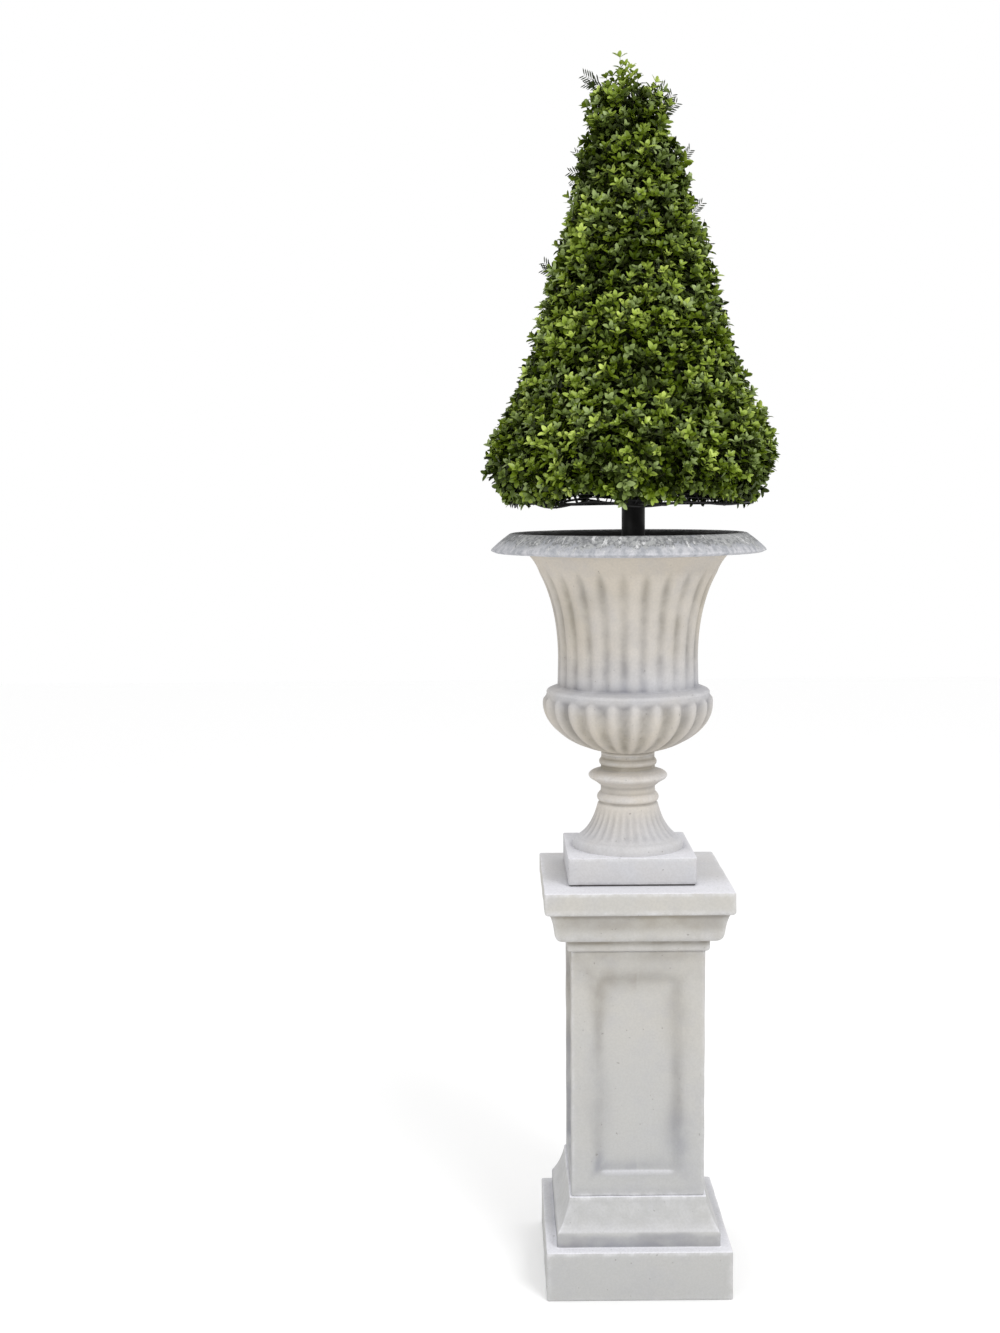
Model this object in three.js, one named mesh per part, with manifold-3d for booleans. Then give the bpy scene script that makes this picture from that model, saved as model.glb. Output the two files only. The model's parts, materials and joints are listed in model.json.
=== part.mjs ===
// Artificial boxwood cone topiary on a black post, in a fluted bell urn on a square pedestal.
// Millimetres, +Z up, front towards -Y. The origin is on the floor, under the middle of the pedestal.
import * as THREE from 'three';
import { mergeVertices } from 'three/addons/utils/BufferGeometryUtils.js';
import Module from 'manifold-3d';

const wasm = await Module();
wasm.setup();

// Driving dimensions of the pedestal
const GAP = 0.3;
const BLOCK_HALF = 159;
const BLOCK_TOP = 85;
const FILLET_HALF = 140;
const FILLET_TOP = 110;
const SPLAY_BEND = [126, 128];
const BASE_TOP = 167;
const BEAD_HALF = 118;
const BEAD_THICK = 5;
const SHAFT_HALF = 114;
const SHAFT_TOP = 599;
const PANEL_LOW = 206;
const PANEL_HIGH = 563;
const PANEL_HALF = 79;
const PANEL_DEPTH = 10;
const PANEL_SLOPE = 24;
const PANEL_LEDGE = 3;
const ASTRAGAL_HALF = 121;
const ASTRAGAL_TOP = 618;
const ASTRAGAL_ROUND = 9;
const OGEE_LOW_HALF = 134;
const OGEE_LOW_BEND = [142, 622];
const OGEE_MIDDLE = [144, 638];
const OGEE_HIGH_BEND = [146, 655];
const OGEE_HIGH_HALF = 151;
const OGEE_TOP = 670;
const SLAB_HALF = 160;
const SLAB_LOW = 674.5;
const PEDESTAL_TOP = 710;
const ARRIS = 4;

// Driving dimensions of the urn, which stands a little left of the middle of the pedestal
const URN_SHIFT = -9;
const PLATE_HALF = 109;
const PLATE_TOP = 758;
const FOOT_RING_TOP = 775;
const FOOT_RING_RADIUS = 97;
const FOOT_RING_ROUND = 4;
const FLARE_RADIUS = 90;
const FLARE_BEND = [63, 794];
const FLARE_TOP = 834;
const FLARE_TOP_RADIUS = 52.5;
const NECK_RADIUS = 47;
const NECK_LOW = 855;
const LOWER_RING_RADIUS = 54;
const LOWER_RING_MIDDLE = 846;
const UPPER_RING_RADIUS = 50;
const UPPER_RING_LOW = 901;
const UPPER_RING_TOP = 914;
const NECK_TOP = 920;
const BOWL_START_RADIUS = 50;
const BOWL_RADIUS = 148;
const BOWL_MIDDLE = 1012;
const BOWL_DROP = 90;
const SHOULDER_TOP = 1041;
const BODY_LOW_RADIUS = 122;
const BODY_WAIST_RADIUS = 121;
const BODY_WAIST = 1092;
const BODY_BEND = [122, 1178];
const BODY_FLARE = [[152, 1235], [155.5, 1244]];
const BODY_TOP_RADIUS = 170;
const BODY_TOP = 1266;
const RIM_LIP = 8;
const RIM_RADIUS = 237;
const RIM_EDGE = 1275.5;
const RIM_BEND = [229, 1293];
const RIM_CREST_RADIUS = 198;
const RIM_CREST = 1305;
const URN_WALL = 9;
const URN_FLOOR = 1050;
const INSIDE_LOW_BEND = [123, 1180];
const INSIDE_MIDDLE = [141, 1223];
const INSIDE_HIGH_BEND = [149, 1243];
const INSIDE_TOP_RADIUS = 160;
const LOBES = 24;
const GADROON_DEPTH = 9;
const GADROON_TOP = 1027;
const GADROON_LOW = 922;
const GROOVE_DEPTH = 3.5;
const GROOVE_TOP = 1243;
const FOOT_FLUTES = 30;
const FOOT_FLUTE_DEPTH = 2.5;
const FOOT_FLUTE_TOP = 826;
const FILL_TOP = 1243;

// Lens-shaped collar on the neck, and the bowl's shoulder with its ridge: radius and height
const COLLAR = [
  [47, 865], [51, 868.8], [59, 875.4], [64, 878.7], [67.5, 883.5], [64, 888.5], [59, 891.2], [51, 893.5],
  [47, 896],
];
const SHOULDER = [[147, 1020], [143, 1029], [139.5, 1034], [132, 1037.5], [124, 1040]];

// Driving dimensions of the post, the form under the crown and the crown
const POST_RADIUS = 20;
const POST_SIDES = 20;
const POST_LOW = 1100;
const POST_TOP = 1990;
const FORM_LOW = 1352;
const FORM_HIGH = 1370;
const FORM_RADIUS = 203;
const FORM_WALL = 3.5;
const FORM_WINDOWS = 18;
const FORM_WINDOW_SHARE = 0.8;
const FORM_COLLAR = 8;
const FORM_SPOKES = 6;
const SPOKE_WIDTH = 5;
const SPOKE_THICK = 3.5;
const CROWN_FOOT = 1346;
const CROWN_TOP = 2104;
const CROWN_LEAN = 7;
const CORE_DEPTH = 24;
const CORE_LUMP = 5;
const SPRIGS = 76;
const SPRIG_LENGTH = 24;
const SPRIG_INSIDE = 10;
const LEAF_LENGTH = 42;
const LEAF_WIDTH = 23;
const LEAF_THICK = 2.4;
const LEAF_LEAN = 0.62;
const TIP_LEAF_SHARE = 0.72;
const TWIG_RADIUS = 3.4;
const SEED = 20;

// Outline of the clipped crown: height above its foot, and radius
const CROWN_OUTLINE = [
  [0, 198], [8, 221], [30, 229], [58, 249], [92, 251], [122, 244], [155, 225], [216, 195], [277, 174],
  [337, 160], [397, 144], [457, 125], [517, 107], [576, 94], [620, 78], [660, 71], [697, 69], [714, 60],
  [728, 42],
];
const CROWN_HIGH = CROWN_OUTLINE[CROWN_OUTLINE.length - 1][0];

// Tufts that make the ragged top: place of the tip, and pairs of leaves
const TUFTS = [
  [-22, 0, CROWN_TOP, 3], [-54, 10, 2070, 2], [-6, -30, 2072, 2], [40, -8, 2070, 2], [6, 32, 2076, 2],
];

// Seeded random numbers, the same in every run
function seededRandom(seed) {
  let state = seed;
  return () => {
    state = (state + 0x6d2b79f5) | 0;
    let t = Math.imul(state ^ (state >>> 15), 1 | state);
    t = (t + Math.imul(t ^ (t >>> 7), 61 | t)) ^ t;
    return ((t ^ (t >>> 14)) >>> 0) / 4294967296;
  };
}

// A closed geometry as a solid that can be joined and cut
function solidOf(geometry) {
  const bare = geometry.clone();
  bare.deleteAttribute('normal');
  bare.deleteAttribute('uv');
  const merged = mergeVertices(bare, 1e-4);
  const vertProperties = new Float32Array(merged.attributes.position.array);
  const triVerts = new Uint32Array(merged.index.array);
  return new wasm.Manifold(new wasm.Mesh({ numProp: 3, vertProperties, triVerts }));
}

function geometryOf(solid) {
  const mesh = solid.getMesh();
  const geometry = new THREE.BufferGeometry();
  geometry.setAttribute('position', new THREE.BufferAttribute(new Float32Array(mesh.vertProperties), 3));
  geometry.setIndex(new THREE.BufferAttribute(new Uint32Array(mesh.triVerts), 1));
  geometry.computeVertexNormals();
  return geometry;
}

// Joins in pairs, so that no join has more than half of the pieces on one side
function joined(solids) {
  let round = solids;
  while (round.length > 1) {
    const next = [];
    for (let i = 0; i < round.length; i += 2) {
      next.push(i + 1 < round.length ? round[i].add(round[i + 1]) : round[i]);
    }
    round = next;
  }
  return round[0];
}

// A round piece turned about the Z axis from a profile of radius and height
function turned(path, sectors, curveSteps = 4) {
  const geometry = new THREE.LatheGeometry(path.getPoints(curveSteps), sectors);
  geometry.rotateX(Math.PI / 2);
  return geometry;
}

// A square piece from a profile of half width and height
function squared(path, curveSteps = 4) {
  const corners = path.getPoints(curveSteps).map((p) => new THREE.Vector2(p.x * Math.SQRT2, p.y));
  const geometry = new THREE.LatheGeometry(corners, 4, Math.PI / 4);
  geometry.rotateX(Math.PI / 2);
  return geometry;
}

// Draws the points of a round piece in by depth(height) in the valleys of its lobes.
// A sharper valley is a narrow groove between broad bands, and a lobe faces the front.
function lobed(geometry, lobes, depth, sharpness) {
  const position = geometry.attributes.position;
  for (let i = 0; i < position.count; i += 1) {
    const x = position.getX(i);
    const y = position.getY(i);
    const radius = Math.hypot(x, y);
    if (radius > 1) {
      const valley = (1 - Math.cos(lobes * Math.atan2(x, -y))) / 2;
      const scale = 1 - (depth(position.getZ(i)) * valley ** sharpness) / radius;
      position.setXY(i, x * scale, y * scale);
    }
  }
  return geometry;
}

function follow(path, points) {
  for (const [radius, height] of points) {
    path.lineTo(radius, height);
  }
}

function cylinder(radius, low, high, sectors) {
  const geometry = new THREE.CylinderGeometry(radius, radius, high - low, sectors);
  geometry.rotateX(Math.PI / 2);
  geometry.translate(0, 0, (low + high) / 2);
  return geometry;
}

// Square block with a rounded upper edge, a fillet and a hollow splay up to a bead
function pedestalBase() {
  const path = new THREE.Path();
  path.moveTo(0, 0);
  path.lineTo(BLOCK_HALF, 0);
  path.lineTo(BLOCK_HALF, BLOCK_TOP - ARRIS);
  path.quadraticCurveTo(BLOCK_HALF, BLOCK_TOP, BLOCK_HALF - ARRIS, BLOCK_TOP);
  path.lineTo(FILLET_HALF, BLOCK_TOP);
  path.lineTo(FILLET_HALF, FILLET_TOP);
  path.quadraticCurveTo(...SPLAY_BEND, BEAD_HALF, BASE_TOP - BEAD_THICK);
  path.lineTo(BEAD_HALF, BASE_TOP);
  path.lineTo(0, BASE_TOP);
  return solidOf(squared(path));
}

// The space of one sunk panel on the front face: its sides and top slope in, its foot is a ledge
function panelSpace() {
  const past = 5;
  const depth = PANEL_DEPTH + past;
  const grow = past / PANEL_DEPTH;
  const block = new THREE.BoxGeometry(1, 1, 1);
  const position = block.attributes.position;
  for (let i = 0; i < position.count; i += 1) {
    const outer = position.getY(i) < 0;
    const slope = outer ? -PANEL_SLOPE * grow : PANEL_SLOPE;
    const ledge = outer ? -PANEL_LEDGE * grow : PANEL_LEDGE;
    const half = PANEL_HALF - slope;
    const z = position.getZ(i) < 0 ? PANEL_LOW + ledge : PANEL_HIGH - slope;
    const y = outer ? -SHAFT_HALF - past : -SHAFT_HALF - past + depth;
    position.setXYZ(i, Math.sign(position.getX(i)) * half, y, z);
  }
  return block;
}

function pedestalShaft() {
  const low = BASE_TOP + GAP;
  const shaft = new THREE.BoxGeometry(2 * SHAFT_HALF, 2 * SHAFT_HALF, SHAFT_TOP - low);
  shaft.translate(0, 0, (SHAFT_TOP + low) / 2);
  let solid = solidOf(shaft);
  for (let face = 0; face < 4; face += 1) {
    solid = solid.subtract(solidOf(panelSpace().rotateZ((face * Math.PI) / 2)));
  }
  return solid;
}

// Small round band, an ogee that swells outwards and a slab with rounded edges
function pedestalCap() {
  const low = SHAFT_TOP + GAP;
  const path = new THREE.Path();
  path.moveTo(0, low);
  path.lineTo(SHAFT_HALF, low);
  path.quadraticCurveTo(ASTRAGAL_HALF, low, ASTRAGAL_HALF, low + ASTRAGAL_ROUND);
  path.lineTo(ASTRAGAL_HALF, ASTRAGAL_TOP);
  path.lineTo(OGEE_LOW_HALF, ASTRAGAL_TOP + 2);
  path.quadraticCurveTo(...OGEE_LOW_BEND, ...OGEE_MIDDLE);
  path.quadraticCurveTo(...OGEE_HIGH_BEND, OGEE_HIGH_HALF, OGEE_TOP);
  path.lineTo(SLAB_HALF - ARRIS, SLAB_LOW - 2);
  path.quadraticCurveTo(SLAB_HALF, SLAB_LOW - 2, SLAB_HALF, SLAB_LOW + ARRIS);
  path.lineTo(SLAB_HALF, PEDESTAL_TOP - ARRIS);
  path.quadraticCurveTo(SLAB_HALF, PEDESTAL_TOP, SLAB_HALF - ARRIS, PEDESTAL_TOP);
  path.lineTo(0, PEDESTAL_TOP);
  return solidOf(squared(path, 3));
}

// Square plate, low ring, fluted flare and a neck with three rings
function urnFoot() {
  const low = PEDESTAL_TOP + GAP;
  const plate = new THREE.Path();
  plate.moveTo(0, low);
  plate.lineTo(PLATE_HALF, low);
  plate.lineTo(PLATE_HALF, PLATE_TOP - ARRIS);
  plate.quadraticCurveTo(PLATE_HALF, PLATE_TOP, PLATE_HALF - ARRIS, PLATE_TOP);
  plate.lineTo(0, PLATE_TOP);

  const flare = new THREE.Path();
  flare.moveTo(0, PLATE_TOP - ARRIS);
  flare.lineTo(FOOT_RING_RADIUS, PLATE_TOP - ARRIS);
  flare.lineTo(FOOT_RING_RADIUS, FOOT_RING_TOP - FOOT_RING_ROUND);
  flare.lineTo(FOOT_RING_RADIUS - FOOT_RING_ROUND, FOOT_RING_TOP);
  flare.lineTo(FLARE_RADIUS, FOOT_RING_TOP + 3);
  flare.quadraticCurveTo(...FLARE_BEND, FLARE_TOP_RADIUS, FLARE_TOP);
  flare.lineTo(0, FLARE_TOP);
  const fluteDepth = (z) => (z > FOOT_RING_TOP + 1 && z < FOOT_FLUTE_TOP ? FOOT_FLUTE_DEPTH : 0);

  const neck = new THREE.Path();
  neck.moveTo(0, FLARE_TOP - 4);
  neck.lineTo(NECK_RADIUS + 3, FLARE_TOP - 4);
  neck.lineTo(NECK_RADIUS + 3, FLARE_TOP + 3);
  neck.quadraticCurveTo(2 * LOWER_RING_RADIUS - NECK_RADIUS - 1, LOWER_RING_MIDDLE, NECK_RADIUS, NECK_LOW);
  follow(neck, COLLAR);
  neck.lineTo(NECK_RADIUS, UPPER_RING_LOW);
  const upperMiddle = (UPPER_RING_LOW + UPPER_RING_TOP) / 2;
  neck.quadraticCurveTo(2 * UPPER_RING_RADIUS - NECK_RADIUS, upperMiddle, NECK_RADIUS, UPPER_RING_TOP);
  neck.lineTo(NECK_RADIUS, NECK_TOP);
  neck.lineTo(0, NECK_TOP);

  return joined([
    solidOf(squared(plate)),
    solidOf(lobed(turned(flare, FOOT_FLUTES * 3, 4), FOOT_FLUTES, fluteDepth, 1)),
    solidOf(turned(neck, 24, 2)),
  ]);
}

// The inner side of the bell, one wall in from its outside
function bellInside(path, low, inset) {
  path.lineTo(BODY_WAIST_RADIUS - URN_WALL - inset, low);
  path.lineTo(BODY_WAIST_RADIUS - URN_WALL - inset, BODY_WAIST);
  const [lowBend, middle, highBend] = [INSIDE_LOW_BEND, INSIDE_MIDDLE, INSIDE_HIGH_BEND];
  path.quadraticCurveTo(lowBend[0] - inset, lowBend[1], middle[0] - inset, middle[1]);
  path.quadraticCurveTo(highBend[0] - inset, highBend[1], INSIDE_TOP_RADIUS - inset, BODY_TOP);
}

// Gadrooned bowl, fluted bell and turned-out rim in one hollow casting
function urnBowl() {
  const low = NECK_TOP + GAP;
  const path = new THREE.Path();
  path.moveTo(0, low);
  path.lineTo(NECK_RADIUS, low);
  path.lineTo(NECK_RADIUS, low + 5);
  const bowlStart = Math.asin(BOWL_START_RADIUS / BOWL_RADIUS);
  const bowlSteps = 6;
  for (let i = 0; i <= bowlSteps; i += 1) {
    const angle = bowlStart + ((Math.PI / 2 - bowlStart) * i) / bowlSteps;
    path.lineTo(BOWL_RADIUS * Math.sin(angle), BOWL_MIDDLE - BOWL_DROP * Math.cos(angle));
  }
  follow(path, SHOULDER);
  path.lineTo(BODY_LOW_RADIUS, SHOULDER_TOP);
  path.lineTo(BODY_LOW_RADIUS, SHOULDER_TOP + 4);
  path.lineTo(BODY_WAIST_RADIUS, BODY_WAIST);
  path.quadraticCurveTo(...BODY_BEND, ...BODY_FLARE[0]);
  path.lineTo(...BODY_FLARE[1]);
  path.lineTo(BODY_TOP_RADIUS, BODY_TOP);
  path.lineTo(RIM_RADIUS - RIM_LIP, RIM_EDGE - RIM_LIP / 2);
  path.lineTo(RIM_RADIUS, RIM_EDGE);
  path.quadraticCurveTo(...RIM_BEND, RIM_CREST_RADIUS, RIM_CREST);
  path.lineTo(0, RIM_CREST);
  const outside = turned(path, LOBES * 4, 2);
  const { smoothstep } = THREE.MathUtils;
  const gadroons = (z) => {
    if (z > SHOULDER_TOP + 1) {
      return 0;
    }
    return GADROON_DEPTH * smoothstep(GADROON_TOP - z, 0, 14) * smoothstep(z, GADROON_LOW, GADROON_LOW + 30);
  };
  const grooves = (z) => {
    if (z < SHOULDER_TOP + 1) {
      return 0;
    }
    return GROOVE_DEPTH * smoothstep(GROOVE_TOP - z, -2, 14);
  };
  lobed(outside, LOBES, gadroons, 1);
  lobed(outside, LOBES, grooves, 3);

  const hollow = new THREE.Path();
  hollow.moveTo(0, URN_FLOOR);
  bellInside(hollow, URN_FLOOR, 0);
  hollow.lineTo(RIM_CREST_RADIUS - 2, RIM_CREST);
  hollow.lineTo(RIM_CREST_RADIUS - 2, RIM_CREST + 10);
  hollow.lineTo(0, RIM_CREST + 10);
  return solidOf(outside).subtract(solidOf(turned(hollow, 32, 2)));
}

// Dark filling that holds the post in the urn
function potFill() {
  const path = new THREE.Path();
  path.moveTo(0, URN_FLOOR + GAP);
  bellInside(path, URN_FLOOR + GAP, GAP);
  path.lineTo(0, BODY_TOP);
  const above = cylinder(RIM_RADIUS, FILL_TOP, RIM_CREST, 8);
  const bore = cylinder(POST_RADIUS + GAP, POST_LOW - GAP, RIM_CREST, POST_SIDES);
  bore.translate(-URN_SHIFT, 0, 0);
  return solidOf(turned(path, 32, 2)).subtract(solidOf(above)).subtract(solidOf(bore));
}

function post() {
  return solidOf(cylinder(POST_RADIUS, POST_LOW, POST_TOP, POST_SIDES));
}

// Wheel of black plastic under the crown: a collar round the post, spokes and a band with windows
function crownForm() {
  const band = solidOf(cylinder(FORM_RADIUS, FORM_LOW, FORM_HIGH, 2 * FORM_WINDOWS))
    .subtract(solidOf(cylinder(FORM_RADIUS - FORM_WALL, FORM_LOW - 1, FORM_HIGH + 1, 2 * FORM_WINDOWS)));
  const windowWidth = (2 * Math.PI * FORM_RADIUS * FORM_WINDOW_SHARE) / FORM_WINDOWS;
  const windows = [];
  for (let i = 0; i < FORM_WINDOWS / 2; i += 1) {
    const slot = new THREE.BoxGeometry(2.2 * FORM_RADIUS, windowWidth, (FORM_HIGH - FORM_LOW) * 0.5);
    slot.translate(0, 0, (FORM_LOW + FORM_HIGH) / 2);
    slot.rotateZ((2 * Math.PI * (i + 0.5)) / FORM_WINDOWS);
    windows.push(solidOf(slot));
  }
  const pieces = [band.subtract(joined(windows))];
  pieces.push(solidOf(cylinder(POST_RADIUS + FORM_COLLAR, FORM_LOW, FORM_HIGH, POST_SIDES)));
  for (let i = 0; i < FORM_SPOKES / 2; i += 1) {
    const spoke = new THREE.BoxGeometry(2 * FORM_RADIUS - FORM_WALL, SPOKE_WIDTH, SPOKE_THICK);
    spoke.translate(0, 0, FORM_LOW + SPOKE_THICK / 2);
    spoke.rotateZ((Math.PI * 2 * i) / FORM_SPOKES + Math.PI / FORM_WINDOWS);
    pieces.push(solidOf(spoke));
  }
  const bore = cylinder(POST_RADIUS + GAP, FORM_LOW - 1, FORM_HIGH + 1, POST_SIDES);
  return joined(pieces).subtract(solidOf(bore));
}

// Radius of the crown's outline at a height above its foot
function outlineRadius(height) {
  for (let i = 1; i < CROWN_OUTLINE.length; i += 1) {
    const [h0, r0] = CROWN_OUTLINE[i - 1];
    const [h1, r1] = CROWN_OUTLINE[i];
    if (height <= h1) {
      return r0 + ((r1 - r0) * (height - h0)) / (h1 - h0);
    }
  }
  return CROWN_OUTLINE[CROWN_OUTLINE.length - 1][1];
}

// How far the crown leans to the left at a height above its foot
function leanAt(height) {
  return -CROWN_LEAN * THREE.MathUtils.smoothstep(height, CROWN_HIGH * 0.6, CROWN_HIGH * 0.9);
}

// Clipped foliage is never quite even: shallow lumps go in and out over the core
function lumpy(geometry) {
  const position = geometry.attributes.position;
  for (let i = 0; i < position.count; i += 1) {
    const x = position.getX(i);
    const y = position.getY(i);
    const z = position.getZ(i);
    const radius = Math.hypot(x, y);
    if (radius > 1) {
      const angle = Math.atan2(x, -y);
      const lump = CORE_LUMP * Math.sin(9 * angle + z / 31) * Math.cos(5 * angle - z / 19);
      position.setXY(i, x * (1 + lump / radius) + leanAt(z - CROWN_FOOT), y * (1 + lump / radius));
    }
  }
  return geometry;
}

// Core of the clipped crown, with a bore for the post
function crownCore() {
  const low = FORM_HIGH + GAP;
  const path = new THREE.Path();
  path.moveTo(0, low);
  path.lineTo(outlineRadius(low - CROWN_FOOT) - CORE_DEPTH, low);
  const drop = CORE_DEPTH * 0.3;
  for (const [height, radius] of CROWN_OUTLINE) {
    if (CROWN_FOOT + height - drop > low + 2) {
      path.lineTo(radius - CORE_DEPTH, CROWN_FOOT + height - drop);
    }
  }
  path.lineTo(0, CROWN_FOOT + CROWN_HIGH - drop);
  const bore = cylinder(POST_RADIUS + GAP, low - 1, POST_TOP + GAP, POST_SIDES);
  return solidOf(lumpy(turned(path, 30))).subtract(solidOf(bore));
}

// Whether a leaf from root to tip stays above the crown's foot and out of the form under it
function staysInCrown(root, tip) {
  return tip.z > CROWN_FOOT && [0, 0.15, 0.3, 0.5, 0.75, 1].every((share) => {
    const at = root.clone().lerp(tip, share);
    const reach = (LEAF_WIDTH / 2) * (1 - Math.abs(2 * share - 1)) + LEAF_THICK;
    return at.z > FORM_HIGH + reach || Math.hypot(at.x, at.y) > FORM_RADIUS + reach;
  });
}

// A leaf is a long eight-sided lozenge from its root, left out where it would leave the crown
function growLeaf(solids, root, direction, face, length) {
  const geometry = new THREE.OctahedronGeometry(1, 0);
  geometry.scale(length / 2, LEAF_WIDTH / 2, LEAF_THICK / 2);
  geometry.translate(length / 2, 0, 0);
  const across = new THREE.Vector3().crossVectors(face, direction).normalize();
  const up = new THREE.Vector3().crossVectors(direction, across);
  geometry.applyMatrix4(new THREE.Matrix4().makeBasis(direction, across, up).setPosition(root));
  if (staysInCrown(root, root.clone().addScaledVector(direction, length))) {
    solids.push(solidOf(geometry));
  }
}

// A sprig is a three-sided twig with pairs of leaves a quarter turn apart, and one leaf at its tip
function sprig(root, direction, length, pairs, leafLength, turn) {
  const along = direction.clone().normalize();
  const twig = new THREE.CylinderGeometry(TWIG_RADIUS * 0.6, TWIG_RADIUS, length, 3);
  twig.translate(0, length / 2, 0);
  twig.applyQuaternion(new THREE.Quaternion().setFromUnitVectors(new THREE.Vector3(0, 1, 0), along));
  twig.translate(root.x, root.y, root.z);
  const solids = [solidOf(twig)];
  const side = new THREE.Vector3(-along.y, along.x, 0);
  if (side.length() < 0.1) {
    side.set(1, 0, 0);
  }
  side.normalize();
  const across = new THREE.Vector3().crossVectors(along, side);
  for (let pair = 0; pair < pairs; pair += 1) {
    const share = 0.6 + (0.3 * pair) / pairs;
    const spin = turn + (pair * Math.PI) / 2;
    for (const way of [1, -1]) {
      const out = side.clone().multiplyScalar(way * Math.cos(spin));
      out.addScaledVector(across, way * Math.sin(spin));
      const lean = along.clone().multiplyScalar(LEAF_LEAN).add(out);
      const at = root.clone().addScaledVector(along, length * share + 1.5 * way);
      growLeaf(solids, at, lean.normalize(), along, leafLength * (1 - 0.12 * pair));
    }
  }
  const tipRoot = root.clone().addScaledVector(along, length - 3);
  growLeaf(solids, tipRoot, along, across, leafLength * TIP_LEAF_SHARE);
  return solids;
}

// Heights that share the crown's side out evenly among the sprigs
function evenHeights(count) {
  const steps = 400;
  const sums = [0];
  for (let i = 1; i <= steps; i += 1) {
    const height = (CROWN_HIGH * (i - 0.5)) / steps;
    sums.push(sums[i - 1] + outlineRadius(height));
  }
  const heights = [];
  for (let i = 0; i < count; i += 1) {
    const share = ((i + 0.5) / count) * sums[steps];
    heights.push((CROWN_HIGH * sums.findIndex((sum) => sum >= share)) / steps);
  }
  return heights;
}

// Clipped crown: core, sprigs all over it by the golden angle, and the tufts that make the ragged top
function crown() {
  const random = seededRandom(SEED);
  const pieces = [];
  const goldenAngle = Math.PI * (3 - Math.sqrt(5));
  evenHeights(SPRIGS).forEach((height, i) => {
    const angle = i * goldenAngle + (random() - 0.5) * 0.3;
    const radius = outlineRadius(height) - CORE_DEPTH - SPRIG_INSIDE;
    const lift = height < 40 ? -0.35 : 0.35 + 0.3 * random();
    const z = Math.max(CROWN_FOOT + height, FORM_HIGH + 16);
    const out = new THREE.Vector3(Math.sin(angle), -Math.cos(angle), 0);
    const root = out.clone().multiplyScalar(radius).setZ(z - 6);
    root.x += leanAt(height);
    const direction = out.clone().setZ(lift);
    const leafLength = LEAF_LENGTH * (0.9 + 0.2 * random());
    pieces.push(...sprig(root, direction, SPRIG_LENGTH, 1, leafLength, random() * Math.PI));
  });
  for (const [x, y, top, pairs] of TUFTS) {
    const root = new THREE.Vector3(x * 0.5, y * 0.5, CROWN_FOOT + CROWN_HIGH - CORE_DEPTH - 10);
    const tip = new THREE.Vector3(x, y, top);
    const direction = tip.clone().sub(root);
    const leafLength = LEAF_LENGTH * 0.8;
    const length = direction.length() - leafLength * TIP_LEAF_SHARE + 3;
    pieces.push(...sprig(root, direction, length, pairs, leafLength, random() * Math.PI));
  }
  const postSpace = solidOf(cylinder(POST_RADIUS + GAP, CROWN_FOOT - 30, POST_TOP + GAP, POST_SIDES));
  return crownCore().add(joined(pieces)).subtract(postSpace);
}

function material(color, roughness, metalness = 0) {
  return new THREE.MeshStandardMaterial({ color, roughness, metalness });
}

const model = new THREE.Group();
const urn = new THREE.Group();
urn.position.x = URN_SHIFT;
model.add(urn);

function addPiece(parent, name, solid, finish) {
  const mesh = new THREE.Mesh(geometryOf(solid), finish);
  mesh.name = name;
  parent.add(mesh);
}

addPiece(model, 'pedestal_base', pedestalBase(), material(0xcfcfcf, 0.85));
addPiece(model, 'pedestal_shaft', pedestalShaft(), material(0xc8c8c4, 0.85));
addPiece(model, 'pedestal_cap', pedestalCap(), material(0xcfcbc6, 0.85));
addPiece(urn, 'urn_foot', urnFoot(), material(0xd3d3d3, 0.8));
addPiece(urn, 'urn_bowl', urnBowl(), material(0xcac5be, 0.8));
addPiece(urn, 'pot_fill', potFill(), material(0x1d1b1a, 0.95));
addPiece(model, 'post', post(), material(0x151213, 0.6));
addPiece(model, 'crown_form', crownForm(), material(0x111111, 0.55));
addPiece(model, 'crown', crown(), material(0x4a5a1e, 0.5));

export default model;
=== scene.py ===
# Looks of an artificial boxwood cone topiary in a fluted bell urn on a square pedestal.
# Sizes are in millimetres where they are written down, and every mesh is made in metres.
import json
import math

import bpy
import numpy as np
from mathutils import Matrix, Vector

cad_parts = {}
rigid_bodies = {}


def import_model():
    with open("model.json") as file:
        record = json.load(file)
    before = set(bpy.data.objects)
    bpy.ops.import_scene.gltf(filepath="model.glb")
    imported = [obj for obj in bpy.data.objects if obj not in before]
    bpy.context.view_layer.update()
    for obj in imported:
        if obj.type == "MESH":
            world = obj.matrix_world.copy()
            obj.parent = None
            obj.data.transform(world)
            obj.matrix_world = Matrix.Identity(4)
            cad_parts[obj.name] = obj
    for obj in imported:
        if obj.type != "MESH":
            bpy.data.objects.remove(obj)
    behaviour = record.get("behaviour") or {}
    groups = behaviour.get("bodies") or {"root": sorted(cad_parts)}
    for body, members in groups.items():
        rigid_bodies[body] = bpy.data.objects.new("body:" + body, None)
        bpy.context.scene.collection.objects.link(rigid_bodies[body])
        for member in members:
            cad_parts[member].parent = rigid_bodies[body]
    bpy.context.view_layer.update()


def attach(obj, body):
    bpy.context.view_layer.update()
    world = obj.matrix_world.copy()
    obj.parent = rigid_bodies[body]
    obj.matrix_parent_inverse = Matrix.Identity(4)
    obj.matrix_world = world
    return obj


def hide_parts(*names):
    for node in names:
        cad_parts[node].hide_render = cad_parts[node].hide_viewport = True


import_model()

MM = 0.001
REST_GAP = 0.3

# Camera: where it stands, how it is turned, and its focal length in pixels of the photograph
CAMERA_AT = (-237.5, -2906.5, 1389.3)
CAMERA_YAW = 0.133
CAMERA_PITCH = 6.183
CAMERA_ROLL = 0.427
FOCAL_PIXELS = 1686.5
PICTURE_HEIGHT = 1333
SENSOR = 36

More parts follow.
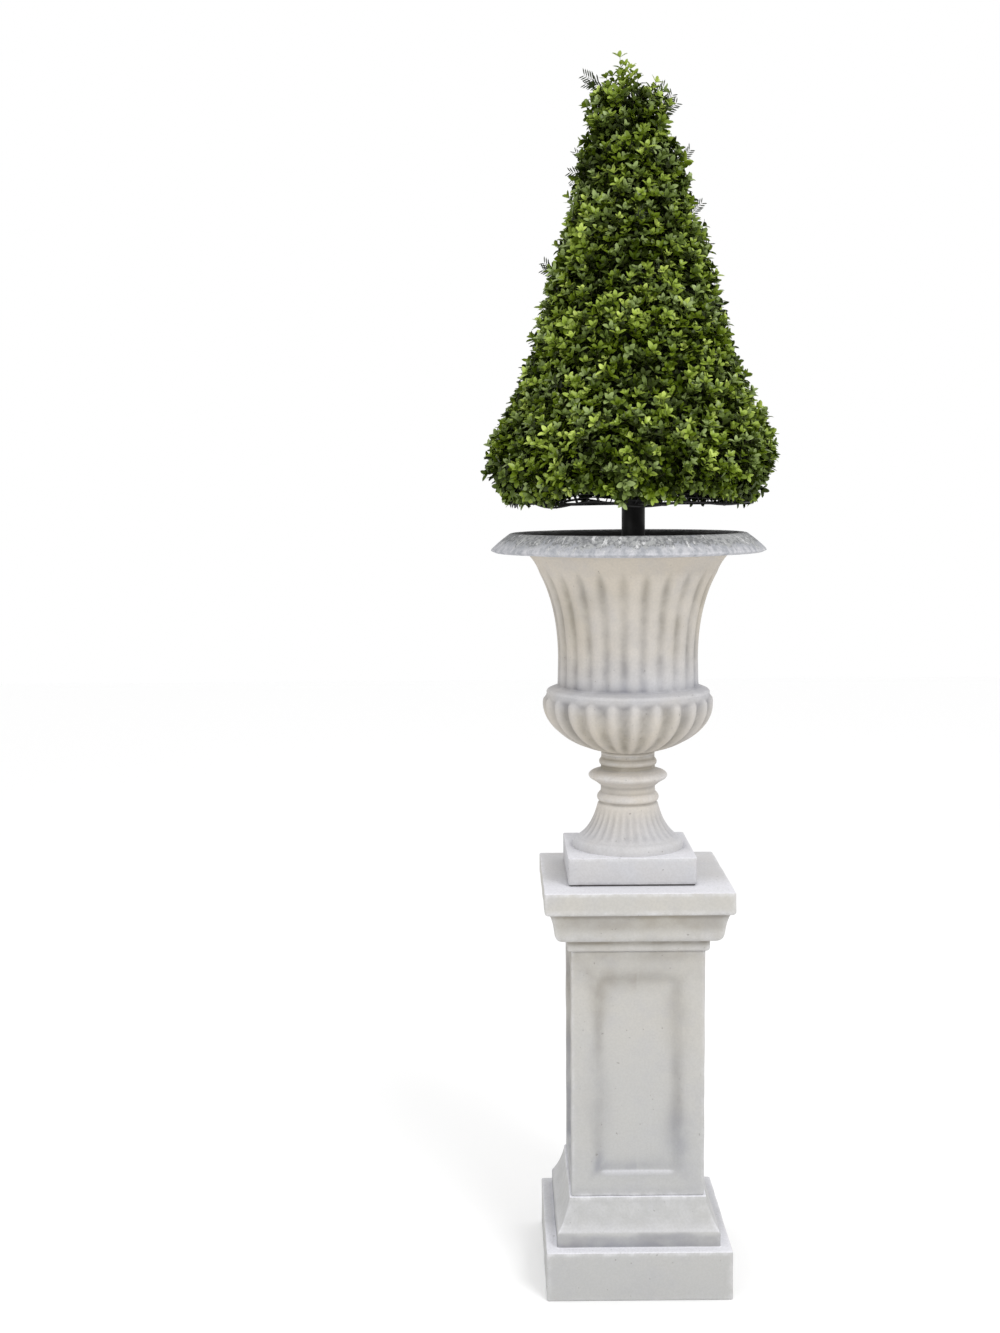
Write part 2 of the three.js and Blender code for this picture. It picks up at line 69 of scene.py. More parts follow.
# Pedestal
BLOCK_HALF, BLOCK_TOP = 159, 85
FILLET_HALF, FILLET_TOP = 140, 110
SPLAY_BEND = (126, 128)
BEAD_HALF, BASE_TOP, BEAD_THICK = 118, 167, 5
SHAFT_HALF, SHAFT_TOP = 114, 599
PANEL_HALF, PANEL_SLOPE, PANEL_DEPTH = 79, 25, 10
PANEL_LOW, PANEL_HIGH, PANEL_LEDGE = 206, 563, 4
ASTRAGAL_HALF, ASTRAGAL_TOP, ASTRAGAL_ROUND = 121, 618, 8
OGEE_LOW_HALF, OGEE_HIGH_HALF, OGEE_TOP = 129, 151, 670
OGEE_LOW_BEND, OGEE_MIDDLE, OGEE_HIGH_BEND = (142, 622), (143.5, 639), (145, 656)
SLAB_HALF, SLAB_LOW, PEDESTAL_TOP = 160, 673.4, 710
ARRIS, FAN_HALF = 3, 40
SIDE_STEPS = 66

# Urn, which stands a little left of the middle of the pedestal
URN_SHIFT = -9
PLATE_HALF, PLATE_TOP = 109, 758
FOOT_RING_RADIUS, FOOT_RING_TOP, FOOT_RING_ROUND = 97, 774, 9
FLARE_RADIUS, FLARE_BEND = 86, (62, 794)
FLARE_TOP_RADIUS, FLARE_TOP = 52.5, 834
FOOT_FLUTES, FOOT_FLUTE_DEPTH, FOOT_FLUTE_TOP = 30, 2.3, 835
NECK_RADIUS, NECK_LOW, NECK_TOP = 47, 855, 920
LOWER_RING_RADIUS, LOWER_RING_MIDDLE = 54, 846
COLLAR = ((47, 865), (51, 868.8), (59, 874.8), (65.5, 878), (69.5, 883.5), (65.5, 889), (59, 891.6),
          (51, 893.5), (47, 896))
UPPER_RING_RADIUS, UPPER_RING_LOW, UPPER_RING_TOP = 50, 901, 914
BOWL_START_RADIUS, BOWL_RADIUS, BOWL_MIDDLE, BOWL_DROP = 50, 148, 1012, 90
SHOULDER = ((147, 1020), (143, 1029), (139.5, 1034), (132, 1037.5), (124, 1040))
BODY_LOW_RADIUS, SHOULDER_TOP = 122, 1041
BODY_WAIST_RADIUS, BODY_WAIST = 121, 1092
BODY_BEND, BODY_FLARE = (122, 1178), ((152, 1235), (155.5, 1244))
BODY_LIP_BEND = (161, 1256)
BODY_TOP_RADIUS, BODY_TOP = 170, 1266
RIM_LIP, RIM_RADIUS, RIM_EDGE = 8, 237, 1275.5
RIM_BEND = (223, 1290)
RIM_CREST_RADIUS, RIM_CREST = 198, 1305
LOBES, GADROON_DEPTH, GADROON_TOP, GADROON_LOW = 24, 9, 1025, 922
GROOVE_DEPTH, GROOVE_TOP = 3.5, 1243
INNER_TOP_RADIUS, INNER_LOW_RADIUS, INNER_LOW = 148, 134, 1215
INNER_BEND = (168, 1280)
LINER_THICK, LINER_LOW = 1.4, 1228
FILL_LOW, FILL_TOP = 1230, 1243

# Warmth of the stone's colour up the urn, as height and warmth: cool at the foot and the shoulder
URN_WARMTH = (
    (770, 0.05), (800, 0.3), (845, 0.8), (885, 0.7), (900, 1.1), (960, 0.9), (1000, 0.7), (1030, 0.25),
    (1050, 0.2), (1110, 0.75), (1190, 0.95), (1260, 1.0),
)

# Post and the lattice wheel under the crown
POST_RADIUS, POST_LOW, POST_TOP = 20, 1200, 1980
FORM_RADIUS, FORM_LOW, FORM_HIGH = 203, 1352, 1370
FORM_WIRE, FORM_COLLAR, FORM_SPOKES = 1.1, 8, 6
SPOKE_WIDTH, SPOKE_THICK, SPOKE_TURN = 5, 3.5, 10
STRUTS, WIRE_RIPPLES = 62, 8.0

# Wires of the lattice: share of its height, thickness as a share of a strut's, and depth of the ripples
LATTICE_WIRES = ((0.17, 1.7, 6.0), (0.62, 0.8, 4.0), (1.0, 0.8, 2.5))

# Crown: outline as height above its foot and radius, as its solid has it
CROWN_FOOT = 1346
CROWN_OUTLINE = [
    (0, 198), (8, 221), (30, 229), (58, 249), (92, 251), (122, 244), (155, 225), (216, 195), (277, 174),
    (337, 160), (397, 144), (457, 125), (517, 107), (576, 94), (620, 78), (660, 71), (697, 69), (714, 60),
    (728, 42),
]
CROWN_HIGH = CROWN_OUTLINE[-1][0]
CROWN_SHIFT, CROWN_LEAN = 2, 7
CORE_DEPTH, CORE_LUMP = 30, 5
CORE_LOW, CORE_HIGH = 1394, 1975
SPRIGS, INNER_SPRIGS = 3900, 2200
SPRIG_LENGTH, INNER_SUNK = 25, 15
LEAF_LENGTH, LEAF_WIDTH = 15.4, 7.8
NARROW_LENGTH, NARROW_WIDTH = 15, 2.6
TIP_INSET, LOWEST_TIP = 18.5, 29
LUMPS = 5
THIN_FROM, BARE_FROM = 635, 690
CLUSTER_RADIUS, CLUSTER_LENGTH = 207, 22
TOP_SPRIGS, TOP_RADIUS, TOP_SUNK = 26, 56, 44
FEATHER_PAIRS, FEATHER_LENGTH = 7, 38
SIDE_FEATHERS, SIDE_FEATHER_LENGTH = 30, 42
SEED = 20
GOLDEN_ANGLE = math.pi * (3 - math.sqrt(5))

random = np.random.default_rng(SEED)


# Numbers and outlines

def ease(value, low, high):
    """0 below low, 1 above high, and a smooth rise between them."""
    share = np.clip((np.asarray(value, float) - low) / (high - low), 0, 1)
    return share * share * (3 - 2 * share)


def falling(value, low, high):
    """1 below low, 0 above high, and a smooth fall between them."""
    return ease(-np.asarray(value, float), -high, -low)


def hump(value, middle, width):
    """1 at the middle, with a smooth fall to 0 on either side."""
    return np.exp(-((value - middle) / width) ** 2)


def all_round(count):
    """Angles from the front, shared out evenly round a circle."""
    return np.linspace(0, 2 * math.pi, count, endpoint=False)


def outward(angle):
    """Level direction away from the middle, at an angle from the front."""
    return Vector((math.sin(angle), -math.cos(angle), 0))


def bent(start, control, end, steps):
    """Points of a quadratic curve, without its start."""
    share = np.linspace(0, 1, steps + 1)[1:, None]
    start, control, end = (np.asarray(p, float) for p in (start, control, end))
    return list((1 - share) ** 2 * start + 2 * share * (1 - share) * control + share ** 2 * end)


def rounded(corners, radius):
    """An outline with its corners drawn round by short curves, but for its two ends."""
    corners = [np.asarray(c, float) for c in corners]
    path = [corners[0]]
    for before, corner, after in zip(corners, corners[1:], corners[2:]):
        back, ahead = before - corner, after - corner
        start = corner + back * min(radius / np.linalg.norm(back), 0.48)
        end = corner + ahead * min(radius / np.linalg.norm(ahead), 0.48)
        path += [start, *bent(start, corner, end, 4)]
    return path + [corners[-1]]


def softened(corners, rounds=2):
    """An outline with its corners cut again and again, which leaves it smooth between its two ends."""
    for _ in range(rounds):
        cut = [corners[0]]
        for start, end in zip(corners, corners[1:]):
            start, end = np.asarray(start, float), np.asarray(end, float)
            cut += [0.75 * start + 0.25 * end, 0.25 * start + 0.75 * end]
        corners = cut + [corners[-1]]
    return corners


def spaced(path, step, least=0.6):
    """The same outline with points no further apart than a step, and no nearer than the least."""
    points = [np.asarray(path[0], float)]
    for end in path[1:]:
        start, end = points[-1], np.asarray(end, float)
        gap = np.linalg.norm(end - start)
        if gap < least and end is not path[-1]:
            continue
        parts = max(1, math.ceil(gap / step))
        points += [start + (end - start) * i / parts for i in range(1, parts + 1)]
    return np.array(points)


def hollows(path, reach, around):
    """How far each point of an outline lies in a hollow, from -1 on an edge to 1 in a deep corner,
    repeated for the points round it."""
    steps = np.linalg.norm(np.diff(path, axis=0), axis=1)
    along = np.concatenate([[0], np.cumsum(steps)])

    def at(place):
        return np.stack([np.interp(place, along, path[:, k]) for k in (0, 1)], axis=1)

    before, after = at(along - reach), at(along + reach)
    tangent = after - before
    tangent /= np.maximum(np.linalg.norm(tangent, axis=1), 1e-9)[:, None]
    outwards = np.stack([tangent[:, 1], -tangent[:, 0]], axis=1)
    depth = ((before + after) / 2 - path) * outwards
    depth = np.clip(depth.sum(axis=1) / (0.45 * reach), -1, 1)
    return np.repeat(depth[:, None], around, axis=1)


def drift(points, size):
    """A slow uneven value from -1 to 1 over points, with waves of about that size."""
    x, y, z = (points * (2 * math.pi / size)).T
    waves = np.sin(x + 1.3 * np.sin(0.7 * y + 0.4 * z)) + np.sin(0.9 * y + 1.7 * np.sin(0.6 * z + 0.3 * x))
    return (waves + np.sin(1.1 * z + 1.5 * np.sin(0.8 * x - 0.5 * y))) / 3


# Meshes

def placed(name, data):
    """A new object in the scene, with its data."""
    thing = bpy.data.objects.new(name, data)
    bpy.context.scene.collection.objects.link(thing)
    return thing


def add_piece(name, mesh, finish, slot, *nodes):
    """Puts a finished mesh in the scene: it moves with the one body and stands for its solids."""
    piece = placed(name, mesh)
    if finish is not None:
        mesh.materials.clear()
        mesh.materials.append(finish)
    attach(piece, "root")
    if nodes:
        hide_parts(*nodes)
    return piece


def mesh_of(name, points, faces, values=None, smooth=True):
    """A mesh from points in millimetres, with values of its points kept as named attributes."""
    mesh = bpy.data.meshes.new(name)
    mesh.from_pydata((np.asarray(points) * MM).tolist(), [], faces)
    for key, value in (values or {}).items():
        value = np.asarray(value, np.float32)
        kind, field = ("FLOAT_VECTOR", "vector") if value.ndim == 2 else ("FLOAT", "value")
        mesh.attributes.new(key, kind, "POINT").data.foreach_set(field, value.ravel())
    mesh.polygons.foreach_set("use_smooth", [smooth] * len(mesh.polygons))
    mesh.update()
    return mesh


def ring_faces(rings, around, closed=False):
    """Faces between rings of points, whose last ring joins the first if the outline is closed."""
    faces = []
    for i in range(rings if closed else rings - 1):
        low, high = i * around, (i + 1) % rings * around
        for j in range(around):
            k = (j + 1) % around
            faces.append((low + j, low + k, high + k, high + j))
    return faces


def capped(name, rings, values):
    """A closed mesh through rings from the lowest, with a fan to the middle at either end."""
    count, around = rings.shape[:2]
    middles = np.array([rings[0].mean(axis=0), rings[-1].mean(axis=0)])
    points = np.concatenate([rings.reshape(-1, 3), middles])
    faces = ring_faces(count, around)
    foot, head = count * around, count * around + 1
    top = (count - 1) * around
    for j in range(around):
        k = (j + 1) % around
        faces += [(k, j, foot), (top + j, top + k, head)]
    grown = {}
    for key, value in values.items():
        value = np.asarray(value, float)
        flat = value.reshape(count * around, *value.shape[2:])
        grown[key] = np.concatenate([flat, value[0, :1], value[-1, :1]])
    return mesh_of(name, points, faces, grown)


def square_rings(path, corner, steps, depth=None):
    """Rings round a square piece with rounded corners, from its outline of half width and height.
    Also gives how far along its face each point is. depth(along, height) draws the faces in."""
    turns = []
    for share in np.linspace(-1, 1, steps + 1):
        turns.append((share, 0, 0))
    for angle in (22.5, 45, 67.5):
        turns.append((1, math.sin(math.radians(angle)), 1 - math.cos(math.radians(angle))))
    rings, alongs = [], []
    for half, height in path:
        ring, along = [], []
        round_off = min(corner, half * 0.5)
        for side in range(4):
            turned = math.radians(90 * side)
            for share, past, back in turns:
                u = share * (half - round_off) + past * round_off
                v = half - back * round_off
                if depth is not None:
                    v -= depth(u, height)
                ring.append((
                    u * math.cos(turned) + v * math.sin(turned),
                    u * math.sin(turned) - v * math.cos(turned),
                    height,
                ))
                along.append(u)
        rings.append(ring)
        alongs.append(along)
    return np.array(rings), np.array(alongs)


def turned_rings(path, around, lobes=0, depth=None):
    """Rings round a turned piece, and how much wash lies in the valleys between its lobes.
    depth(turn, heights) gives that wash and how far the valleys are drawn in. A lobe faces the front."""
    angle = all_round(around)
    path = np.asarray(path)
    radius = np.repeat(path[:, :1], around, axis=1)
    valley = np.zeros_like(radius)
    if lobes:
        valley, pull = depth(angle * lobes, path[:, 1])
        radius = radius - np.where(radius > 1, pull, 0)
    height = np.repeat(path[:, 1:], around, axis=1)
    return np.stack([radius * np.sin(angle), -radius * np.cos(angle), height], axis=2), valley


def spun_place(path, around, radius):
    """Where each point of a turned piece is on a plain drum: for streaks that run down its outline."""
    along = np.concatenate([[0], np.cumsum(np.linalg.norm(np.diff(path, axis=0), axis=1))])
    angle = all_round(around)
    flat = np.zeros((len(path), around, 3))
    flat[:, :, 0] = radius * np.sin(angle)
    flat[:, :, 1] = radius * np.cos(angle)
    flat[:, :, 2] = along[:, None]
    return flat * MM


# Materials

# Where the mix of two colours has its factor, its two colours and its result
MIX_FACTOR, MIX_A, MIX_B, MIX_RESULT = 0, 6, 7, 2


def linear(hex_colour):
    """Linear red, green and blue, and a full alpha, of an sRGB hex colour."""
    channels = [int(hex_colour[i:i + 2], 16) / 255 for i in (0, 2, 4)]
    return [c / 12.92 if c <= 0.04045 else ((c + 0.055) / 1.055) ** 2.4 for c in channels] + [1.0]


def add(tree, kind, inputs=None, **settings):
    """Adds a node with its settings, and gives each input a value or a link. A node given as a value
    stands for its first output."""
    node = tree.nodes.new(kind)
    for name, value in settings.items():
        setattr(node, name, value)
    for name, value in (inputs or {}).items():
        if isinstance(value, bpy.types.Node):
            value = value.outputs[0]
        if isinstance(value, bpy.types.NodeSocket):
            tree.links.new(value, node.inputs[name])
        else:
            node.inputs[name].default_value = value
    return node


def new_material(name):
    """An empty material: its tree, its shader and the place in the object."""
    material = bpy.data.materials.new(name)
    material.use_nodes = True
    tree = material.node_tree
    tree.nodes.clear()
    shader = add(tree, "ShaderNodeBsdfPrincipled")
    add(tree, "ShaderNodeOutputMaterial", {"Surface": shader.outputs["BSDF"]})
    place = add(tree, "ShaderNodeTexCoord").outputs["Object"]
    return material, tree, shader, place


def noise(tree, place, size, detail=3.0, rough=0.5):
    """Noise with spots of about a size in millimetres, from 0 to 1."""
    return add(
        tree, "ShaderNodeTexNoise",
        {"Vector": place, "Scale": 0.5 / (size * MM), "Detail": detail, "Roughness": rough},
    ).outputs["Fac"]


def between(tree, value, low, high, to_low=0.0, to_high=1.0):
    """A value moved from one range to another, and kept within it."""
    return add(
        tree, "ShaderNodeMapRange", {0: value, 1: low, 2: high, 3: to_low, 4: to_high},
        interpolation_type="SMOOTHSTEP",
    ).outputs["Result"]


def maths(tree, operation, first, second=0.0):
    return add(tree, "ShaderNodeMath", {0: first, 1: second}, operation=operation).outputs[0]


def clamped(tree, operation, first, second):
    """The result of two values, kept from 0 to 1."""
    return add(tree, "ShaderNodeClamp", {0: maths(tree, operation, first, second)}).outputs[0]


def mixed(tree, factor, first, second):
    """From the first colour at 0 to the second at 1, each an output or an sRGB hex colour."""
    first, second = (linear(colour) if isinstance(colour, str) else colour for colour in (first, second))
    colours = {MIX_FACTOR: factor, MIX_A: first, MIX_B: second}
    return add(tree, "ShaderNodeMix", colours, data_type="RGBA").outputs[MIX_RESULT]


def attribute(tree, name, output="Fac"):
    """What the mesh itself says at each point."""
    return add(tree, "ShaderNodeAttribute", attribute_name=name).outputs[output]


def coat(tree, shader, colour, gloss, relief, depth, strength, shine):
    """Gives a shader its colour, uneven gloss, shine, and a relief of a depth in millimetres."""
    bump = add(tree, "ShaderNodeBump", {"Height": relief, "Distance": depth * MM, "Strength": strength})
    for name, value in (("Base Color", colour), ("Roughness", gloss), ("Normal", bump.outputs["Normal"])):
        tree.links.new(value, shader.inputs[name])
    shader.inputs["Specular IOR Level"].default_value = shine


def cast_stone(name, cool, warm, wash, deep, rim=False):
    """Cast fibre stone: a matt, faintly gritty skin with small air pits and a brushed grey wash.
    The wash lies in hollows, partly as painted shade; edges are lighter, partly from wear and partly as a
    painted highlight; upward faces get a painted highlight, stronger at the front. All by the piece's own
    attributes."""
    material, tree, shader, place = new_material(name)
    patches = between(tree, noise(tree, place, 70, 4.0), 0.35, 0.65, -0.15, 0.15)
    warmth = clamped(tree, "ADD", attribute(tree, "warmth"), patches)
    clouds = between(tree, noise(tree, place, 22, 4.0, 0.6), 0.45, 0.75, 0.0, 0.3)
    colour = mixed(tree, clouds, mixed(tree, warmth, cool, warm), wash)

    brushed = between(tree, noise(tree, place, 30, 5.0, 0.62), 0.3, 0.7, 0.5, 1.25)
    # The wash attribute holds grey wash and painted shade alike
    wash_and_shade = clamped(tree, "MULTIPLY", attribute(tree, "wash"), brushed)
    colour = mixed(tree, wash_and_shade, colour, mixed(tree, warmth, deep, "8e887c"))

    # Lighter edges: partly wear of the wash, partly a painted highlight along arrises
    wear_and_highlight = between(tree, noise(tree, place, 9), 0.35, 0.7, 0.2, 0.8)
    colour = mixed(tree, maths(tree, "MULTIPLY", attribute(tree, "edge"), wear_and_highlight), colour, "cdcdcf")
    # Painted highlight: upward faces are lightened towards near white, more at the front, as lit from above
    # and in front
    facing = add(tree, "ShaderNodeNewGeometry").outputs["Normal"]
    upward = add(tree, "ShaderNodeSeparateXYZ", {"Vector": facing}).outputs["Z"]
    painted_top_highlight = maths(tree, "MULTIPLY", between(tree, upward, 0.35, 0.95), attribute(tree, "ledge"))
    colour = mixed(tree, painted_top_highlight, colour, "e4e4ea")
    colour = mixed(tree, attribute(tree, "joint"), colour, "3b3735")

    grit = noise(tree, place, 1.8, 2.0)
    colour = mixed(tree, between(tree, grit, 0.35, 0.65, 0.0, 0.13), colour, "8d8c8a")
    pits = between(tree, noise(tree, place, 3.2, 1.0), 0.75, 0.79)
    colour = mixed(tree, maths(tree, "MULTIPLY", pits, 0.5), colour, "77746f")

    relief = maths(tree, "SUBTRACT", maths(tree, "MULTIPLY", grit, 0.3), pits)
    relief = maths(tree, "ADD", relief, maths(tree, "MULTIPLY", noise(tree, place, 7), 0.8))
    if rim:
        colour = weathered_rim(tree, colour)
    gloss = between(tree, noise(tree, place, 12), 0.3, 0.7, 0.68, 0.84)
    coat(tree, shader, colour, gloss, relief, 0.9, 0.5, 0.25)
    shader.inputs["IOR"].default_value = 1.5
    return material


def weathered_rim(tree, colour):
    """Grey weathering over the rim's upper slope, with ragged white brush marks towards its edge."""
    spun = attribute(tree, "spun", "Vector")
    squashed = {0: spun, 1: (1.0, 1.0, 0.55)}
    flecks = add(tree, "ShaderNodeVectorMath", squashed, operation="MULTIPLY").outputs[0]
    flecks = noise(tree, flecks, 6, 6.0, 0.75)
    broad = noise(tree, spun, 48, 3.0, 0.55)
    ragged = maths(tree, "ADD", attribute(tree, "weather"), between(tree, flecks, 0.3, 0.7, -0.5, 0.5))
    ragged = maths(tree, "ADD", ragged, between(tree, broad, 0.35, 0.65, -0.25, 0.3))
    fine = maths(tree, "ADD", noise(tree, spun, 3, 4.0, 0.7), between(tree, broad, 0.3, 0.7, -0.1, 0.1))
    grey = mixed(tree, between(tree, fine, 0.38, 0.62), "77787a", "a6a7a7")
    grey = mixed(tree, between(tree, flecks, 0.56, 0.64, 0.0, 0.9), grey, "d4d4d5")
    white = mixed(tree, between(tree, flecks, 0.38, 0.6), "989a9f", "bababe")
    painted = mixed(tree, between(tree, ragged, 0.4, 0.56), white, grey)
    return mixed(tree, attribute(tree, "rim"), colour, painted)


def black_coat(name, colour, dust, rough, size):
    """A black painted or moulded surface with a little dust and uneven gloss."""
    material, tree, shader, place = new_material(name)
    settled = between(tree, noise(tree, place, size, 4.0, 0.6), 0.45, 0.75, 0.0, 0.5)
    gloss = between(tree, noise(tree, place, size * 0.6), 0.3, 0.7, rough - 0.07, rough + 0.1)
    relief = noise(tree, place, size * 0.15)
    coat(tree, shader, mixed(tree, settled, colour, dust), gloss, relief, 0.2, 0.35, 0.25)
    return material


def moulded_leaf(name, colour, lighter, rough, shine):
    """Moulded polyethylene leaf: even colour with a faint bloom, and a soft waxy gloss."""
    material, tree, shader, place = new_material(name)
    bloom = between(tree, noise(tree, place, 6, 2.0), 0.35, 0.7, 0.0, 0.35)
    gloss = between(tree, noise(tree, place, 4, 2.0), 0.3, 0.7, rough - 0.06, rough + 0.1)
    relief = noise(tree, place, 3, 2.0)
    coat(tree, shader, mixed(tree, bloom, colour, lighter), gloss, relief, 0.25, 0.5, shine)
    return material


# Pedestal

def squared_piece(part, corners, radius, stone, depth=None, wash=None, left=0.0):
    """A square part of the pedestal from its outline. Grey wash, partly painted shade, lies in the outline's
    hollows and where wash(along, height) says, and painted shade darkens the left side, which faces away from
    the light, as far as left says."""
    path = spaced(rounded(corners, radius), 5)
    rings, alongs = square_rings(path, ARRIS, SIDE_STEPS, depth)
    hollow = hollows(path, 7, rings.shape[1])
    heights = rings[:, :, 2]
    near_corner = ease(np.abs(alongs), 0.93 * path[:, :1], 0.99 * path[:, :1])
    # Grey wash in the outline's hollows, partly painted shade
    wash_and_shade = 0.85 * np.clip(hollow, 0, 1)
    if wash is not None:
        wash_and_shade = wash_and_shade + wash(alongs, heights)
    # Painted shade over the left side, which faces away from the light
    painted_shade_left = (rings[:, :, 0] < -0.88 * path[:, :1]) & (np.abs(rings[:, :, 1]) < 0.98 * path[:, :1])
    wash_and_shade = wash_and_shade + left * painted_shade_left
    # Lighter edges, partly wear and partly a painted highlight; the splay's whole slope is lighter too
    rubbed_and_highlight = 0.9 - 0.8 * hump(heights, SHAFT_TOP, 9) - 0.7 * hump(heights, FILLET_TOP, 7)
    splay = 0.3 * ease(heights, FILLET_TOP + 2, FILLET_TOP + 9) * (heights < BASE_TOP)
    edge = np.clip(rubbed_and_highlight * np.clip(-hollow, 0, 1) + 0.45 * near_corner + splay, 0, 1)
    warmth = 0.85 * ease(heights, 120, 650)
    # Share of painted highlight on upward faces: more towards the front, which faces the lamps
    ledge = 0.45 + 0.45 * ease(-rings[:, :, 1], 20, 120)
    flat = rings.reshape(-1, 3)
    sway = 0.5 * drift(flat, 90)[:, None] * np.array([1, 1, 0]) * (flat[:, 2:] > 1)
    rings = (flat + sway).reshape(rings.shape)
    values = {"wash": np.clip(wash_and_shade, 0, 1), "edge": edge, "warmth": warmth, "ledge": ledge}
    name = f"pedestal_{part}_stone"
    add_piece(name, capped(name, rings, values), stone, "pedestal_stone", f"pedestal_{part}")


def base_outline():
    corners = [(BLOCK_HALF - 1, 0), (BLOCK_HALF, 1), (BLOCK_HALF, BLOCK_TOP)]
    corners += [(FILLET_HALF, BLOCK_TOP + 1), (FILLET_HALF, FILLET_TOP)]
    corners += bent((FILLET_HALF, FILLET_TOP), SPLAY_BEND, (BEAD_HALF, BASE_TOP - BEAD_THICK), 6)
    return corners + [(BEAD_HALF, BASE_TOP), (FAN_HALF, BASE_TOP)]


def shaft_outline():
    low = BASE_TOP + REST_GAP
    return [(FAN_HALF, low), (SHAFT_HALF, low), (SHAFT_HALF, SHAFT_TOP), (FAN_HALF, SHAFT_TOP)]


def cap_outline():
    low = SHAFT_TOP + REST_GAP
    corners = [(FAN_HALF, low), (SHAFT_HALF + 1, low)]
    corners += bent(corners[-1], (ASTRAGAL_HALF, low), (ASTRAGAL_HALF, low + ASTRAGAL_ROUND), 4)
    corners += [(ASTRAGAL_HALF, ASTRAGAL_TOP), (OGEE_LOW_HALF, ASTRAGAL_TOP + 2)]
    corners += bent(corners[-1], OGEE_LOW_BEND, OGEE_MIDDLE, 5)
    corners += bent(OGEE_MIDDLE, OGEE_HIGH_BEND, (OGEE_HIGH_HALF, OGEE_TOP), 5)
    corners += [(SLAB_HALF - 3, SLAB_LOW - 2), (SLAB_HALF, SLAB_LOW + 2)]
    return corners + [(SLAB_HALF, PEDESTAL_TOP), (FAN_HALF, PEDESTAL_TOP)]


def cap_painted_shade(along, height):
    """Painted shade under the slab: grey darkening on the ogee, strongest in its hollow upper part and on the
    astragal, less over the swell.
    """
    under = falling(height, SLAB_LOW - 6, SLAB_LOW)
    hollow = ease(height, OGEE_MIDDLE[1] - 4, OGEE_MIDDLE[1] + 12)
    return under * (0.14 + 0.4 * hollow + 0.1 * falling(height, ASTRAGAL_TOP - 2, ASTRAGAL_TOP + 3))


def base_wash(along, height):
    """Grey wash brushed along the fillet under the splay, uneven along its upper edge."""
    line = FILLET_TOP + 3 + 2.5 * np.sin(along / 31) + 1.5 * np.sin(along / 11 + 1)
    return 0.68 * ease(height, BLOCK_TOP + 1, BLOCK_TOP + 4) * ease(line - height, 0, 9)


def panel_depth(along, height):
    """How deep a sunk panel is: its sides and top slope softly in, and its foot is a crisp step."""
    side = float(ease(PANEL_HALF - abs(along), 0, PANEL_SLOPE))
    top = float(ease(PANEL_HIGH - height, 0, PANEL_SLOPE))
    foot = float(ease(height - PANEL_LOW, 0, PANEL_LEDGE))
    return PANEL_DEPTH * side * top * foot


def panel_wash(along, height):
    """Grey wash along the edges of the panel; darker under the mouldings above and below, and a little darker
    outside the panel, most towards the shaft's top.
    """
    middle = PANEL_HALF - PANEL_SLOPE * 0.45
    side = np.abs(along) - middle
    top = height - (PANEL_HIGH - PANEL_SLOPE * 0.6)
    foot = (PANEL_LOW + 9) - height
    off = np.maximum(np.maximum(side, top), foot)
    width = 15 + 5 * np.sin(height / 37 + along / 60)
    band = hump(off, 0, width) * (0.75 + 0.25 * np.sin(height / 53 + 2 * np.sign(along)))
    border = ease(off, 0, 16) * (0.02 + 0.22 * ease(height, SHAFT_TOP - 75, SHAFT_TOP - 30))
    under = 0.35 * ease(height, SHAFT_TOP - 26, SHAFT_TOP - 4)
    above = 0.25 * falling(height, BASE_TOP + 3, BASE_TOP + 22)
    return 0.7 * band + border + under + above


def build_pedestal(stone):
    squared_piece("base", base_outline(), ARRIS, stone, wash=base_wash)
    # The shaft's left side gets painted shade
    squared_piece("shaft", shaft_outline(), 1.5, stone, panel_depth, panel_wash, left=0.4)
    squared_piece("cap", cap_outline(), 2.5, stone, wash=cap_painted_shade)


# Urn

def build_plate(stone):
    low = PEDESTAL_TOP + REST_GAP
    corners = [(FAN_HALF, low), (PLATE_HALF - 2.6, low), (PLATE_HALF - 2.6, low + 1.6), (PLATE_HALF, low + 3)]
    corners += [(PLATE_HALF, PLATE_TOP), (FAN_HALF, PLATE_TOP)]
    path = spaced(rounded(corners, 1.2), 5)
    rings, _ = square_rings(path, ARRIS + 1, 30)
    rings[:, :, 0] += URN_SHIFT
    hollow = hollows(path, 6, rings.shape[1])
    heights = rings[:, :, 2]
    # Darker along the plate's lower edge, and painted shade in a ring on its top round the urn's foot ring
    foot = 0.5 * falling(heights, low + 2, low + 7)
    from_middle = np.hypot(rings[:, :, 0] - URN_SHIFT, rings[:, :, 1])
    inner = 0.75 * hump(from_middle, FOOT_RING_RADIUS, 5) * (heights > PLATE_TOP - 1)
    # Lighter edges, partly wear and partly a painted highlight
    values = {"wash": foot + inner, "edge": 0.8 * np.clip(-hollow, 0, 1), "warmth": 0 * foot}
    values.update({"rim": 0 * foot, "weather": 0 * foot, "spun": rings * MM})
    # Share of painted highlight on upward faces: more towards the front
    values["ledge"] = 0.5 + 0.4 * ease(-rings[:, :, 1], 20, 90)
    values["joint"] = falling(heights, low + 1.8, low + 3.4)
    add_piece("urn_plate_stone", capped("urn_plate_stone", rings, values), stone, "urn_stone", "urn_foot")


